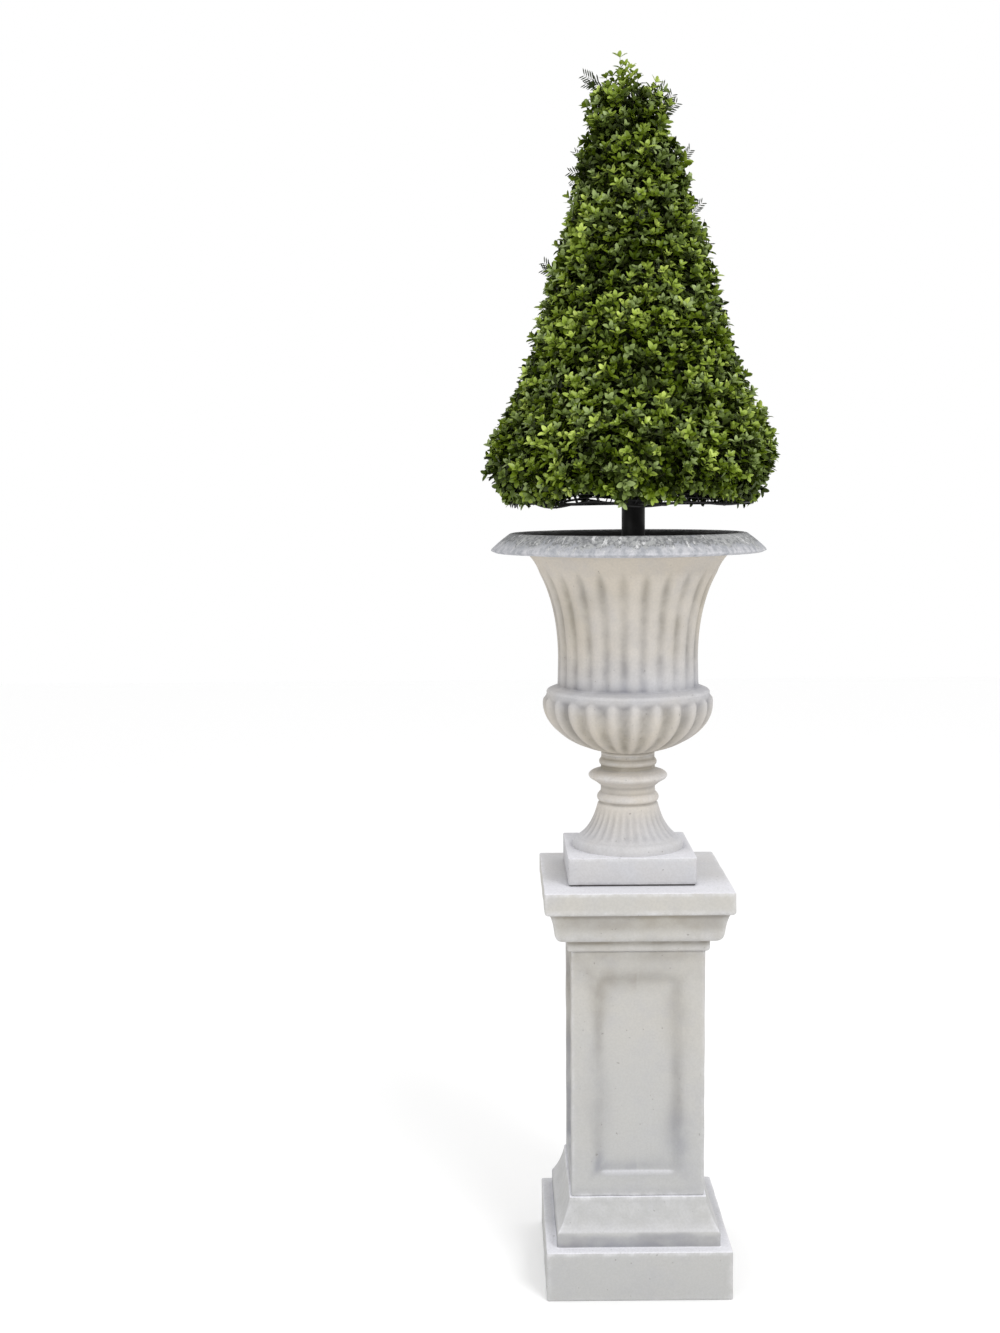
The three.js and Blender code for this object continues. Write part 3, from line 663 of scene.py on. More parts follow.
def foot_outline():
    low = PLATE_TOP - 3
    corners = [(30, low), (FOOT_RING_RADIUS, low), (FOOT_RING_RADIUS, PLATE_TOP + 2)]
    ring_end = (FOOT_RING_RADIUS - FOOT_RING_ROUND, FOOT_RING_TOP)
    corners += bent(corners[-1], (FOOT_RING_RADIUS - 1, FOOT_RING_TOP - 3), ring_end, 5)
    corners += [(FLARE_RADIUS, FOOT_RING_TOP + 2)]
    corners += bent(corners[-1], FLARE_BEND, (FLARE_TOP_RADIUS, FLARE_TOP), 14)
    corners += [(NECK_RADIUS + 3, FLARE_TOP + 2), (NECK_RADIUS + 3, FLARE_TOP + 4)]
    bulge = (2 * LOWER_RING_RADIUS - NECK_RADIUS - 2, LOWER_RING_MIDDLE)
    corners += bent(corners[-1], bulge, (NECK_RADIUS + 0.5, NECK_LOW), 8)
    corners += softened([(NECK_RADIUS, NECK_LOW + 6), *COLLAR, (NECK_RADIUS, UPPER_RING_LOW - 2)])
    ring_low = (NECK_RADIUS - 0.5, UPPER_RING_LOW)
    ring_middle = (2 * UPPER_RING_RADIUS - NECK_RADIUS + 1, (UPPER_RING_LOW + UPPER_RING_TOP) / 2)
    corners += [ring_low, *bent(ring_low, ring_middle, (NECK_RADIUS - 0.5, UPPER_RING_TOP), 6)]
    return corners + [(NECK_RADIUS - 1, NECK_TOP + 1), (20, NECK_TOP + 1)]


def foot_flutes(turn, heights):
    """Wash and depth of the valleys between the foot's fine ridges, which fade out below the neck, and
    painted shade on the neck above the collar, under the bowl.
    """
    depth = FOOT_FLUTE_DEPTH * ease(heights, FOOT_RING_TOP, FOOT_RING_TOP + 11)
    depth = depth * falling(heights, FOOT_FLUTE_TOP - 30, FOOT_FLUTE_TOP)
    valley = ((1 - np.cos(turn)) / 2)[None, :]
    share = depth[:, None] / FOOT_FLUTE_DEPTH
    # Painted shade on the neck above the collar, under the bowl
    neck = ease(heights, 889, 903)[:, None]
    return 0.42 * valley * share + 0.48 * neck, valley * depth[:, None]


def bowl_outline():
    low = NECK_TOP + REST_GAP
    start = math.asin(BOWL_START_RADIUS / BOWL_RADIUS)
    corners = [(20, low), (NECK_RADIUS - 0.5, low), (NECK_RADIUS - 0.5, low + 5)]
    for angle in np.linspace(start, math.pi / 2, 22):
        corners.append((BOWL_RADIUS * math.sin(angle), BOWL_MIDDLE - BOWL_DROP * math.cos(angle)))
    ridge = SHOULDER[2]
    corners += softened([corners[-1], SHOULDER[0], SHOULDER[1], (ridge[0] + 0.8, ridge[1] - 1.5)])[1:]
    corners += softened([ridge, *SHOULDER[3:], (BODY_LOW_RADIUS + 0.5, SHOULDER_TOP)])
    corners += [(BODY_LOW_RADIUS, SHOULDER_TOP + 5), (BODY_WAIST_RADIUS, BODY_WAIST)]
    corners += [*bent(corners[-1], BODY_BEND, BODY_FLARE[0], 14), BODY_FLARE[1]]
    corners += bent(corners[-1], BODY_LIP_BEND, (BODY_TOP_RADIUS, BODY_TOP), 4)
    corners += [(BODY_TOP_RADIUS + 4, BODY_TOP + 2), (RIM_RADIUS - RIM_LIP, RIM_EDGE - RIM_LIP / 2)]
    corners += [(RIM_RADIUS, RIM_EDGE)]
    corners += bent(corners[-1], RIM_BEND, (RIM_CREST_RADIUS + 5, RIM_CREST - 1), 10)
    corners += [(RIM_CREST_RADIUS, RIM_CREST), (RIM_CREST_RADIUS - 3, RIM_CREST - 2.5)]
    corners += bent(corners[-1], INNER_BEND, (INNER_TOP_RADIUS, GROOVE_TOP), 6)
    return corners + [(INNER_LOW_RADIUS, INNER_LOW), (30, INNER_LOW - 5)]


def bowl_lobes(turn, heights):
    """Wash and depth of the valleys round the bowl's round-headed gadroons, and of the body's flutes. The
    valley wash is partly painted shade, most near the flutes' upper ends; the wash is also darker over the
    shoulder's upper slope and the middle of the body.
    """
    wave = (1 - np.cos(turn))[None, :] / 2
    gadroon, groove = wave ** 1.1, wave ** 1.7
    heights = heights[:, None]
    head = ease(GADROON_TOP + 2 - 9 * wave - heights, 0, 9)
    swell = 1 - (1 - gadroon) * head
    swell = swell * ease(SHOULDER[2][1] - 2.5 - heights, 0, 4) * ease(heights, GADROON_LOW, GADROON_LOW + 24)
    deep = GADROON_DEPTH * (0.3 + 0.7 * ease(GADROON_TOP + 2 - heights, 0, 16))
    band = ease(heights, GADROON_TOP - 10, GADROON_TOP + 3)
    fade = ease(GROOVE_TOP + 2 - 16 * (1 - groove) - heights, -6, 20)
    fade = fade * ease(heights, SHOULDER_TOP - 4, SHOULDER_TOP)
    below = heights < SHOULDER_TOP + 0.5
    # Darker over the shoulder's upper slope, and over the middle of the body
    slope = 0.3 * ease(heights, SHOULDER[2][1] - 1, SHOULDER[2][1] + 2)
    slope = slope * falling(heights, SHOULDER_TOP, SHOULDER_TOP + 24)
    slope = slope + (0.2 + 0.1 * ease(heights, SHOULDER_TOP + 10, 1080)) * falling(heights, 1190, 1232)
    # Flute valley wash, partly painted shade, strongest near the flutes' upper ends
    flute_wash_and_shade = 0.62 + 0.12 * hump(heights, GROOVE_TOP - 30, 20)
    flute_wash_and_shade = flute_wash_and_shade * (0.4 + 0.6 * ease(heights, SHOULDER_TOP + 2, SHOULDER_TOP + 40))
    valley = np.where(below, 0.95 * swell * (1 - 0.75 * band), flute_wash_and_shade * wave ** 2 * fade)
    return valley + slope, np.where(below, deep * swell, GROOVE_DEPTH * groove * fade)


def turned_piece(name, node, path, lobes, steps, depth, drum, stone):
    """A turned part of the urn from its outline, with that many lobes and that many steps round each.
    depth shapes the valleys between them, and drum is the radius on which the rim's streaks are laid out."""
    around = lobes * steps
    rings, valley = turned_rings(path, around, lobes, depth)
    rings[:, :, 0] += URN_SHIFT
    hollow = hollows(path, 6, around)
    heights = rings[:, :, 2]
    rim = ease(heights, BODY_TOP + 1, BODY_TOP + 4)
    corner = 0.5 * hump(heights, SHOULDER_TOP, 7)
    # Grey wash in hollows, partly painted shade
    wash_and_shade = np.clip(hollow, 0, 1) * (0.8 - corner - 0.6 * ease(heights, 1150, 1230))
    values = {
        "wash": np.clip(wash_and_shade + 0.85 * valley, 0, 1),
        # Lighter edges, partly wear and partly a painted highlight
        "edge": 0.55 * np.clip(-hollow, 0, 1) * (1 - rim),
        # A little painted highlight on upward faces
        "ledge": 0.12 + 0 * rim,
        "warmth": np.interp(heights, *zip(*URN_WARMTH)),
        "rim": rim,
        "weather": ease(heights, RIM_EDGE + 1, RIM_CREST - 6),
        "spun": spun_place(path, around, drum),
    }
    add_piece(name, capped(name, rings, values), stone, "urn_stone", node)


def build_urn(stone):
    build_plate(stone)
    foot = spaced(rounded(foot_outline(), 1.2), 3, 1.0)
    turned_piece("urn_foot_stone", "urn_foot", foot, FOOT_FLUTES, 8, foot_flutes, 60, stone)
    bowl = spaced(rounded(bowl_outline(), 1.2), 4.5, 1.5)
    turned_piece("urn_bell_stone", "urn_bowl", bowl, LOBES, 12, bowl_lobes, 220, stone)


def build_liner(paint):
    """Black inner side of the urn: a thin skin from the rim's crest down past the filling."""
    inner = [(RIM_CREST_RADIUS - 3.6, RIM_CREST - 2.6)]
    bend = (INNER_BEND[0] - 1, INNER_BEND[1])
    inner += bent(inner[-1], bend, (INNER_TOP_RADIUS - 0.5, GROOVE_TOP), 12)
    inner = np.array(inner + [(INNER_LOW_RADIUS + 7, LINER_LOW)])
    thick = np.array([-LINER_THICK, 0.4])
    path = np.concatenate([inner, (inner + thick)[::-1]])
    around = 144
    rings, _ = turned_rings(path, around)
    rings[:, :, 0] += URN_SHIFT
    faces = ring_faces(len(path), around, closed=True)
    mesh = mesh_of("urn_liner", rings.reshape(-1, 3), [face[::-1] for face in faces])
    add_piece("urn_liner", mesh, paint, "dark_filling", "pot_fill")


def build_fill(paint):
    """Rough dark filling round the post, a little uneven over its top."""
    radii = np.linspace(INNER_TOP_RADIUS - 2.4, 4, 40)
    path = np.array([(30, FILL_LOW), (INNER_LOW_RADIUS + 4, FILL_LOW), *[(r, FILL_TOP) for r in radii]])
    rings, _ = turned_rings(path, 120)
    top = rings[2:]
    lumps = 2.4 * drift(top.reshape(-1, 3), 26) + 1.3 * drift(top.reshape(-1, 3) + 40, 9)
    top[:, :, 2] += lumps.reshape(top.shape[:2]) - 2
    rings[:, :, 0] += URN_SHIFT
    add_piece("pot_filling", capped("pot_filling", rings, {}), paint, "dark_filling", "pot_fill")


# Post and the lattice wheel

def build_post(enamel):
    corners = [(6, POST_LOW), (POST_RADIUS, POST_LOW), (POST_RADIUS, POST_TOP), (6, POST_TOP)]
    rings, _ = turned_rings(spaced(rounded(corners, 1), 40), 64)
    add_piece("post_tube", capped("post_tube", rings, {}), enamel, "black_paint", "post")


def node_tree(name, inputs):
    """A Geometry Nodes tree with named inputs, and its input and output nodes."""
    tree = bpy.data.node_groups.new(name, "GeometryNodeTree")
    tree.interface.new_socket("Geometry", in_out="INPUT", socket_type="NodeSocketGeometry")
    for key, kind in inputs.items():
        tree.interface.new_socket(key, in_out="INPUT", socket_type=kind)
    tree.interface.new_socket("Geometry", in_out="OUTPUT", socket_type="NodeSocketGeometry")
    return tree, tree.nodes.new("NodeGroupInput"), tree.nodes.new("NodeGroupOutput")


def finish_tree(tree, given, shown, geometry):
    """Ends a tree in real meshes with their material."""
    real = add(tree, "GeometryNodeRealizeInstances", {"Geometry": geometry})
    smooth = add(tree, "GeometryNodeSetShadeSmooth", {"Geometry": real})
    coated = {"Geometry": smooth, "Material": given.outputs["Material"]}
    painted = add(tree, "GeometryNodeSetMaterial", coated)
    tree.links.new(painted.outputs["Geometry"], shown.inputs["Geometry"])


def grown_mesh(name, tree, start, values):
    """The plain mesh that a tree makes from a starting mesh and the values of its named inputs."""
    grower = placed(name + "_grower", start)
    modifier = grower.modifiers.new("grow", "NODES")
    modifier.node_group = tree
    for item in tree.interface.items_tree:
        if item.in_out == "INPUT" and item.name in values:
            modifier[item.identifier] = values[item.name]
    evaluated = grower.evaluated_get(bpy.context.evaluated_depsgraph_get())
    mesh = bpy.data.meshes.new_from_object(evaluated)
    mesh.name = name
    grower.modifiers.remove(modifier)
    bpy.data.objects.remove(grower)
    return mesh


def lifted(tree, geometry, level):
    """Geometry moved up by a level."""
    offset = add(tree, "ShaderNodeCombineXYZ", {"Z": level})
    return add(tree, "GeometryNodeSetPosition", {"Geometry": geometry, "Offset": offset})


def lattice_tree():
    """Lattice band: wavy wires in rings, and short leaning struts between the lowest and highest."""
    tree, given, shown = node_tree("lattice_band", {
        "Radius": "NodeSocketFloat", "Height": "NodeSocketFloat", "Low": "NodeSocketFloat",
        "Wire": "NodeSocketFloat", "Struts": "NodeSocketInt", "Material": "NodeSocketMaterial",
    })
    radius, height, low, wire = (given.outputs[key] for key in ("Radius", "Height", "Low", "Wire"))
    flat = add(tree, "ShaderNodeSeparateXYZ", {"Vector": add(tree, "GeometryNodeInputPosition")})
    angle = maths(tree, "ARCTAN2", flat.outputs["Y"], flat.outputs["X"])
    swing = maths(tree, "SUBTRACT", 0.6, maths(tree, "MULTIPLY", maths(tree, "COSINE", angle), 0.4))
    ripple = maths(tree, "COSINE", maths(tree, "MULTIPLY", angle, WIRE_RIPPLES))
    joined = add(tree, "GeometryNodeJoinGeometry")
    for share, thick, depth in LATTICE_WIRES:
        circle = add(tree, "GeometryNodeCurvePrimitiveCircle", {"Resolution": 160, "Radius": radius})
        wave = maths(tree, "MULTIPLY", ripple, maths(tree, "MULTIPLY", swing, -depth * MM))
        rise = maths(tree, "ADD", low, maths(tree, "MULTIPLY", height, share))
        path = lifted(tree, circle, maths(tree, "ADD", rise, wave))
        thickness = maths(tree, "MULTIPLY", wire, thick)
        profile = add(tree, "GeometryNodeCurvePrimitiveCircle", {"Resolution": 6, "Radius": thickness})
        wavy = add(tree, "GeometryNodeCurveToMesh", {"Curve": path, "Profile Curve": profile})
        tree.links.new(wavy.outputs["Mesh"], joined.inputs["Geometry"])
    ring = add(tree, "GeometryNodeMeshCircle", {"Vertices": given.outputs["Struts"], "Radius": radius})
    stick = {"Vertices": 6, "Radius": wire, "Depth": 0.92, "Side Segments": 1}
    stick = add(tree, "GeometryNodeMeshCylinder", stick)
    lean = maths(tree, "PINGPONG", add(tree, "GeometryNodeInputIndex"), 1.0)
    lean = maths(tree, "SUBTRACT", maths(tree, "MULTIPLY", lean, 0.8), 0.4)
    tilt = add(tree, "ShaderNodeCombineXYZ", {"X": lean, "Z": angle})
    struts = add(tree, "GeometryNodeInstanceOnPoints", {
        "Points": ring, "Instance": stick,
        "Rotation": add(tree, "FunctionNodeEulerToRotation", {"Euler": tilt}),
        "Scale": add(tree, "ShaderNodeCombineXYZ", {"X": 1.0, "Y": 1.0, "Z": height}),
    })
    middle = maths(tree, "ADD", low, maths(tree, "MULTIPLY", height, 0.58))
    tree.links.new(lifted(tree, struts, middle).outputs["Geometry"], joined.inputs["Geometry"])
    finish_tree(tree, given, shown, joined)
    return tree


def build_lattice(plastic):
    """Black lattice under the crown: the band, and a wheel of spokes and a collar inside it."""
    values = {
        "Radius": FORM_RADIUS * MM, "Height": (FORM_HIGH - FORM_LOW) * MM, "Low": FORM_LOW * MM,
        "Wire": FORM_WIRE * MM, "Struts": STRUTS, "Material": plastic,
    }
    mesh = grown_mesh("lattice_band", lattice_tree(), bpy.data.meshes.new("band_start"), values)
    add_piece("lattice_band", mesh, None, "black_plastic", "crown_form")

    low, high = FORM_LOW, FORM_HIGH
    outer, inner = POST_RADIUS + FORM_COLLAR, POST_RADIUS + 0.5
    path = np.array([(inner, low), (outer, low), (outer, high), (inner, high)])
    around = 48
    rings, _ = turned_rings(path, around)
    points, faces = [rings.reshape(-1, 3)], ring_faces(len(path), around, closed=True)
    start = len(points[0])
    half = SPOKE_WIDTH / 2
    for i in range(FORM_SPOKES):
        angle = 2 * math.pi * i / FORM_SPOKES + math.radians(SPOKE_TURN)
        out = np.array([math.sin(angle), -math.cos(angle), 0])
        side = np.array([out[1], -out[0], 0])
        for radius in (outer - 1, FORM_RADIUS):
            for across, up in ((-half, 0), (half, 0), (half, SPOKE_THICK), (-half, SPOKE_THICK)):
                points.append([out * radius + side * across + np.array([0, 0, low + up])])
        a = start + 8 * i
        faces += [(a + j, a + (j + 1) % 4, a + 4 + (j + 1) % 4, a + 4 + j) for j in range(4)]
        faces += [(a + 3, a + 2, a + 1, a), (a + 4, a + 5, a + 6, a + 7)]
    mesh = mesh_of("lattice_wheel", np.concatenate(points), faces, smooth=False)
    add_piece("lattice_wheel", mesh, plastic, "black_plastic", "crown_form")


# Crown

def outline_radius(height):
    return np.interp(height, *zip(*CROWN_OUTLINE))


def lean_at(height):
    """How far the crown leans to the left at a height above its foot."""
    return -CROWN_SHIFT - CROWN_LEAN * ease(height, CROWN_HIGH * 0.6, CROWN_HIGH * 0.9)


def lumpy(angle, height):
    """Shallow lumps of the clipped surface, from -1 to 1."""
    z = CROWN_FOOT + height
    return np.sin(9 * angle + z / 31) * np.cos(5 * angle - z / 19)


def build_core(dark):
    """Dark core behind the leaves, its near black colour painted shade in the gaps between them, open below
    where light shows through the lattice.
    """
    low, high = CORE_LOW - CROWN_FOOT, CORE_HIGH - CROWN_FOOT
    corners = [(POST_RADIUS + 12, low + 30), (POST_RADIUS + 12, low + 12)]
    corners += [(outline_radius(low) - CORE_DEPTH - 8, low)]
    corners += [(outline_radius(h + 9) - CORE_DEPTH, h) for h, _ in CROWN_OUTLINE if low + 8 < h < high]
    corners += [(outline_radius(high) - CORE_DEPTH - 8, high), (8, high + 4)]
    path = spaced(rounded(corners, 6), 12)
    around = 120
    rings, _ = turned_rings(path, around)
    unevenness = 2.5 * drift(rings.reshape(-1, 3), 30).reshape(len(path), around)
    lump = CORE_LUMP * lumpy(all_round(around)[None, :], path[:, 1:]) + unevenness
    scale = 1 + np.where(path[:, :1] > 60, lump, 0) / path[:, :1]
    rings[:, :, :2] *= scale[:, :, None]
    rings[:, :, 0] += lean_at(path[:, 1:])
    rings[:, :, 2] += CROWN_FOOT
    add_piece("crown_core", capped("crown_core", rings, {}), dark, "leaves", "crown")


LEAF_OUTLINE = ((0.22, 0.65), (0.53, 1.0), (0.83, 0.7))


def leaf_shape(length, width, fold, cup, plain=False):
    """One leaf along +X from its stalk: points and faces, folded on its midrib and cupped."""
    if plain:
        outline, ribs = ((0.3, 0.85), (0.74, 0.92)), ()
    else:
        outline, ribs = LEAF_OUTLINE, (0.33, 0.68)
    points = [(0, 0), (1, 0), *[(x, 0) for x in ribs]]
    points += [(x, y) for x, y in outline] + [(x, -y) for x, y in outline]
    left, right = 2 + len(ribs), 2 + len(ribs) + len(outline)
    if plain:
        faces = [(0, 1, left + 1, left), (0, right, right + 1, 1)]
    else:
        faces = [(0, 2, left), (2, 3, left + 1, left), (3, 1, left + 2, left + 1)]
        faces += [(0, right, 2), (2, right, right + 1, 3), (3, right + 1, right + 2, 1)]
    flat = np.array(points, float)
    x, y = flat[:, 0] * length, flat[:, 1] * width / 2
    z = fold * np.abs(y) + cup * length * (flat[:, 0] ** 2 - 0.4 * flat[:, 0])
    return np.stack([x, y, z], axis=1), faces


def leaf_at(spread, spin, roll=0, **shape):
    """A leaf that leans away from +Z by a spread, turned about +Z by a spin and rolled about its midrib."""
    points, faces = leaf_shape(**shape)
    lean = Matrix.Rotation(spin, 3, "Z") @ Matrix.Rotation(spread - math.pi / 2, 3, "Y")
    return points @ np.array(lean @ Matrix.Rotation(roll, 3, "X")).T, faces


def spray_template(name, leaves):
    """A small mesh of some leaves, to be put on points: its name sets its place in the choice."""
    points, faces, start = [], [], 0
    for leaf_points, leaf_faces in leaves:
        points.append(leaf_points)
        faces += [tuple(i + start for i in face) for face in leaf_faces]
        start += len(leaf_points)
    return mesh_of(name, np.concatenate(points), faces)


def leaf_pair(plain, narrow=False):
    """A leaf on either side of a twig: with few faces if plain, and thin and upright for the feathers."""
    leaves = []
    for way in (0, math.pi):
        length = LEAF_LENGTH * random.uniform(0.88, 1.1)
        width = LEAF_WIDTH * random.uniform(0.9, 1.08)
        if narrow:
            length, width = NARROW_LENGTH * random.uniform(0.85, 1.1), NARROW_WIDTH
        spread = math.radians(random.uniform(38, 52) if narrow else random.uniform(40, 78))
        leaves.append(leaf_at(
            spread, way + random.uniform(-0.25, 0.25), math.pi / 2 * narrow, length=length, width=width,
            fold=random.uniform(0.2, 0.6), cup=random.uniform(-0.3, 0.12), plain=plain,
        ))
    return leaves


def leaf_tip():
    """The leaves at a twig's end: pairs turned a quarter from each other, the last ones small."""
    leaves = []
    for k, (spread, size) in enumerate(((56, 1.0), (34, 0.88), (13, 0.55))):
        for way in (0, math.pi):
            leaves.append(leaf_at(
                math.radians(spread + random.uniform(-13, 13)),
                way + k * math.pi / 2 + random.uniform(-0.22, 0.22),
                length=LEAF_LENGTH * size * random.uniform(0.9, 1.1),
                width=LEAF_WIDTH * size ** 0.8 * random.uniform(0.9, 1.08),
                fold=random.uniform(0.2, 0.6), cup=random.uniform(-0.25, 0.1),
            ))
    return leaves


PAIR_KINDS, TIP_KINDS, PLAIN_KINDS, NARROW_KINDS = 6, 6, 4, 3
FIRST_TIP = PAIR_KINDS
FIRST_PLAIN = FIRST_TIP + TIP_KINDS
FIRST_NARROW = FIRST_PLAIN + PLAIN_KINDS


def spray_collection():
    """The sprays that the leaves are dealt from, in a collection that is removed at the end."""
    makers = [lambda: leaf_pair(False)] * PAIR_KINDS + [leaf_tip] * TIP_KINDS
    makers += [lambda: leaf_pair(True)] * PLAIN_KINDS + [lambda: leaf_pair(True, True)] * NARROW_KINDS
    sprays = bpy.data.collections.new("sprays")
    for i, maker in enumerate(makers):
        name = f"spray_{i:02d}"
        sprays.objects.link(bpy.data.objects.new(name, spray_template(name, maker())))
    return sprays


def foliage_tree():
    """Leaves on points: each point takes the spray, turn and size that its attributes say."""
    tree, given, shown = node_tree("foliage", {
        "Sprays": "NodeSocketCollection", "Size": "NodeSocketFloat", "Material": "NodeSocketMaterial",
    })
    sprays = {"Collection": given.outputs["Sprays"], "Separate Children": True, "Reset Children": True}
    sprays = add(tree, "GeometryNodeCollectionInfo", sprays)
    named = "GeometryNodeInputNamedAttribute"
    kind = add(tree, named, {"Name": "kind"}, data_type="INT")
    turn = add(tree, named, {"Name": "turn"}, data_type="FLOAT_VECTOR")
    size = add(tree, named, {"Name": "size"}, data_type="FLOAT")
    leaves = add(tree, "GeometryNodeInstanceOnPoints", {
        "Points": given.outputs["Geometry"], "Instance": sprays,
        "Pick Instance": True, "Instance Index": kind,
        "Rotation": add(tree, "FunctionNodeEulerToRotation", {"Euler": turn}),
        "Scale": maths(tree, "MULTIPLY", size, given.outputs["Size"]),
    })
    finish_tree(tree, given, shown, leaves)
    return tree


class Growth:
    """Gathers the points of leaves by tone, and the twigs that carry them."""

    def __init__(self):
        self.leaves = {}
        self.twigs = []

    def leaf(self, tone, spot, direction, spin, kind, size):
        axes = direction.to_track_quat("Z", "Y").to_matrix() @ Matrix.Rotation(spin, 3, "Z")
        self.leaves.setdefault(tone, []).append((spot, axes.to_euler(), kind, size))

    def sprig(self, root, direction, length, tones, pairs, size=1.0, plain=False):
        """A twig with pairs of leaves turned a quarter from each other, and a whorl at its tip. A plain
        sprig lies out of sight behind the others, so it is leaves with few faces alone."""
        direction = direction.normalized()
        spin = random.uniform(0, math.pi)
        first = 0.3 if pairs > 1 else 0.55
        for pair in range(pairs):
            spot = root + direction * length * (first + (0.88 - first) * pair / max(pairs, 1))
            if plain:
                kind = FIRST_PLAIN + int(random.integers(PLAIN_KINDS))
            else:
                kind = int(random.integers(PAIR_KINDS))
            tone = tones[min(pair, len(tones) - 2)]
            self.leaf(tone, spot, direction, spin + pair * math.pi / 2, kind, size)
        if not plain:
            kind = FIRST_TIP + int(random.integers(TIP_KINDS))
            self.leaf(tones[-1], root + direction * length, direction, spin + pairs * math.pi / 2, kind, size)
            self.twigs.append((root, root + direction * (length + 1), 0.8 * size))

    def feather(self, root, direction, length, tone):
        """A thin dark filler sprig with narrow leaves in pairs, above and below its stalk."""
        direction = direction.normalized()
        spin = math.pi / 2 + random.normal(0, 0.4)
        for pair in range(FEATHER_PAIRS):
            share = 0.3 + 0.7 * pair / (FEATHER_PAIRS - 1)
            kind = FIRST_NARROW + int(random.integers(NARROW_KINDS))
            size = 1.0 - 0.45 * max(0, share - 0.5)
            self.leaf(tone, root + direction * length * share, direction, spin, kind, size)
        self.twigs.append((root, root + direction * length, 0.5))


def even_heights(count):
    """Heights that share the crown's side out evenly among the sprigs."""
    steps = np.linspace(0, CROWN_HIGH, 2000)
    slope = np.abs(np.gradient(outline_radius(steps), steps))
    sums = np.cumsum(outline_radius(steps) * np.sqrt(1 + slope ** 2))
    shares = (np.arange(count) + 0.5) / count
    return np.interp(shares * sums[-1], sums, steps)


def patch(spot):
    """Which way the tones lean at a place: high where young lime tips gather, low where old leaves show."""
    x, y, z = spot
    wave = math.sin(x / 23 + 1.8 * math.sin(z / 37)) + math.sin(z / 29 + 1.3 * math.sin(x / 43 + y / 31))
    return (wave + math.sin(y / 23 + z / 51)) / 3


WARM_TONES = ("deep", "dark", "mid", "olive", "lime")
# Muted ladder: cooler leaf colours, its greyish light tone partly painted sheen
MUTED_AND_SHEEN_TONES = ("deep", "pine", "fern", "sage", "olive")


def deal_tones(spot):
    """Tones of a sprig from its oldest pair of leaves to its tip, dealt by patch and chance, and darker near
    the crown's foot as painted shade.
    """
    # Painted shade: tones step down near the crown's foot, which is less lit
    foot = 0.65 * float(ease(CROWN_FOOT + 85 - spot[2], 0, 50))
    step = 2.45 + 0.75 * patch(spot) - foot + random.normal(0, 0.85)
    tip = int(min(max(round(step), 0), 4))
    older = [max(0, tip - int(random.integers(1, 3))) for _ in range(3)]
    tones = WARM_TONES if random.random() < 0.55 + 0.3 * patch(spot * 1.7) else MUTED_AND_SHEEN_TONES
    return *(tones[i] for i in sorted(older)), tones[tip]


def lowest_tip(out):
    """Lowest height of a tip on a side of the crown: higher where the lattice shows light."""
    gaps = hump(out.x, -0.42, 0.19) + hump(out.x, 0.36, 0.2)
    return LOWEST_TIP - 9 * out.x ** 2 + 12 * gaps


def grow_side(growth):
    """Sprigs all over the side of the crown by the golden angle: the outer ones, and a near black layer
    behind them as painted shade.
    """
    slopes = np.gradient(outline_radius(np.linspace(0, CROWN_HIGH, CROWN_HIGH + 1)))
    for layer, count in (("outer", SPRIGS), ("inner", INNER_SPRIGS)):
        for i, height in enumerate(even_heights(count)):
            angle = i * GOLDEN_ANGLE + random.normal(0, 0.5) / math.sqrt(count)
            height = height + random.normal(0, 5)
            sparse = float(ease(height, THIN_FROM, THIN_FROM + 30))
            if height > BARE_FROM or random.random() < sparse * (0.45 if layer == "outer" else 1.0):
                continue
            out = outward(angle)
            height = min(max(height, lowest_tip(out)), CROWN_HIGH)
            slope = -slopes[int(height)]
            normal = Vector((out.x, out.y, 0.6 * min(max(slope, -1), 1.5))).normalized()
            depth = random.normal(0, 4.2) + LUMPS * float(lumpy(angle, height)) * 0.8
            if layer == "inner":
                depth -= INNER_SUNK
            elif random.random() < 0.09:
                depth += random.uniform(4, 14)
            tucked = 11 * max(out.x, 0) * float(falling(height, 45, 85))
            radius = outline_radius(height) - TIP_INSET + depth - tucked
            tip = out * radius + Vector((lean_at(height), 0, CROWN_FOOT + height))
            lift = random.normal(1.1, 0.5) * float(ease(height, 15, 90)) - 0.1 * (height < 40)
            sideways = Vector((-out.y, out.x, 0)) * random.normal(0, 0.55)
            direction = (normal + sideways + Vector((0, 0, lift))).normalized()
            root = tip - direction * SPRIG_LENGTH
            # The inner layer's near black leaves are painted shade between the outer sprigs
            if layer == "inner":
                growth.sprig(root, direction, SPRIG_LENGTH, ("shade", "shade"), 3, 1.15, plain=True)
            else:
                size = random.normal(1.0, 0.1)
                growth.sprig(root, direction, SPRIG_LENGTH * size, deal_tones(tip), 3, size)


# Where clusters hang over the lattice, in degrees from the front: uneven there, and even behind
CLUSTER_TURNS = (-84, -66, -45, -11, 3, 14, 56, 74, *range(105, 265, 19))


def grow_clusters(growth):
    """Clusters of three sprigs that hang over the lattice at the crown's foot."""
    for turn in CLUSTER_TURNS:
        for _ in range(3):
            angle = math.radians(turn + random.normal(0, 2.2))
            out = outward(angle)
            radius = CLUSTER_RADIUS - 8 * max(out.x, 0) + random.normal(0, 4)
            tip = out * radius + Vector((0, 0, CROWN_FOOT + random.uniform(11, 22)))
            direction = out + Vector((0, 0, random.uniform(-0.9, -0.1)))
            root = tip - direction.normalized() * CLUSTER_LENGTH
            growth.sprig(root, direction, CLUSTER_LENGTH, deal_tones(tip), 2, 0.95)


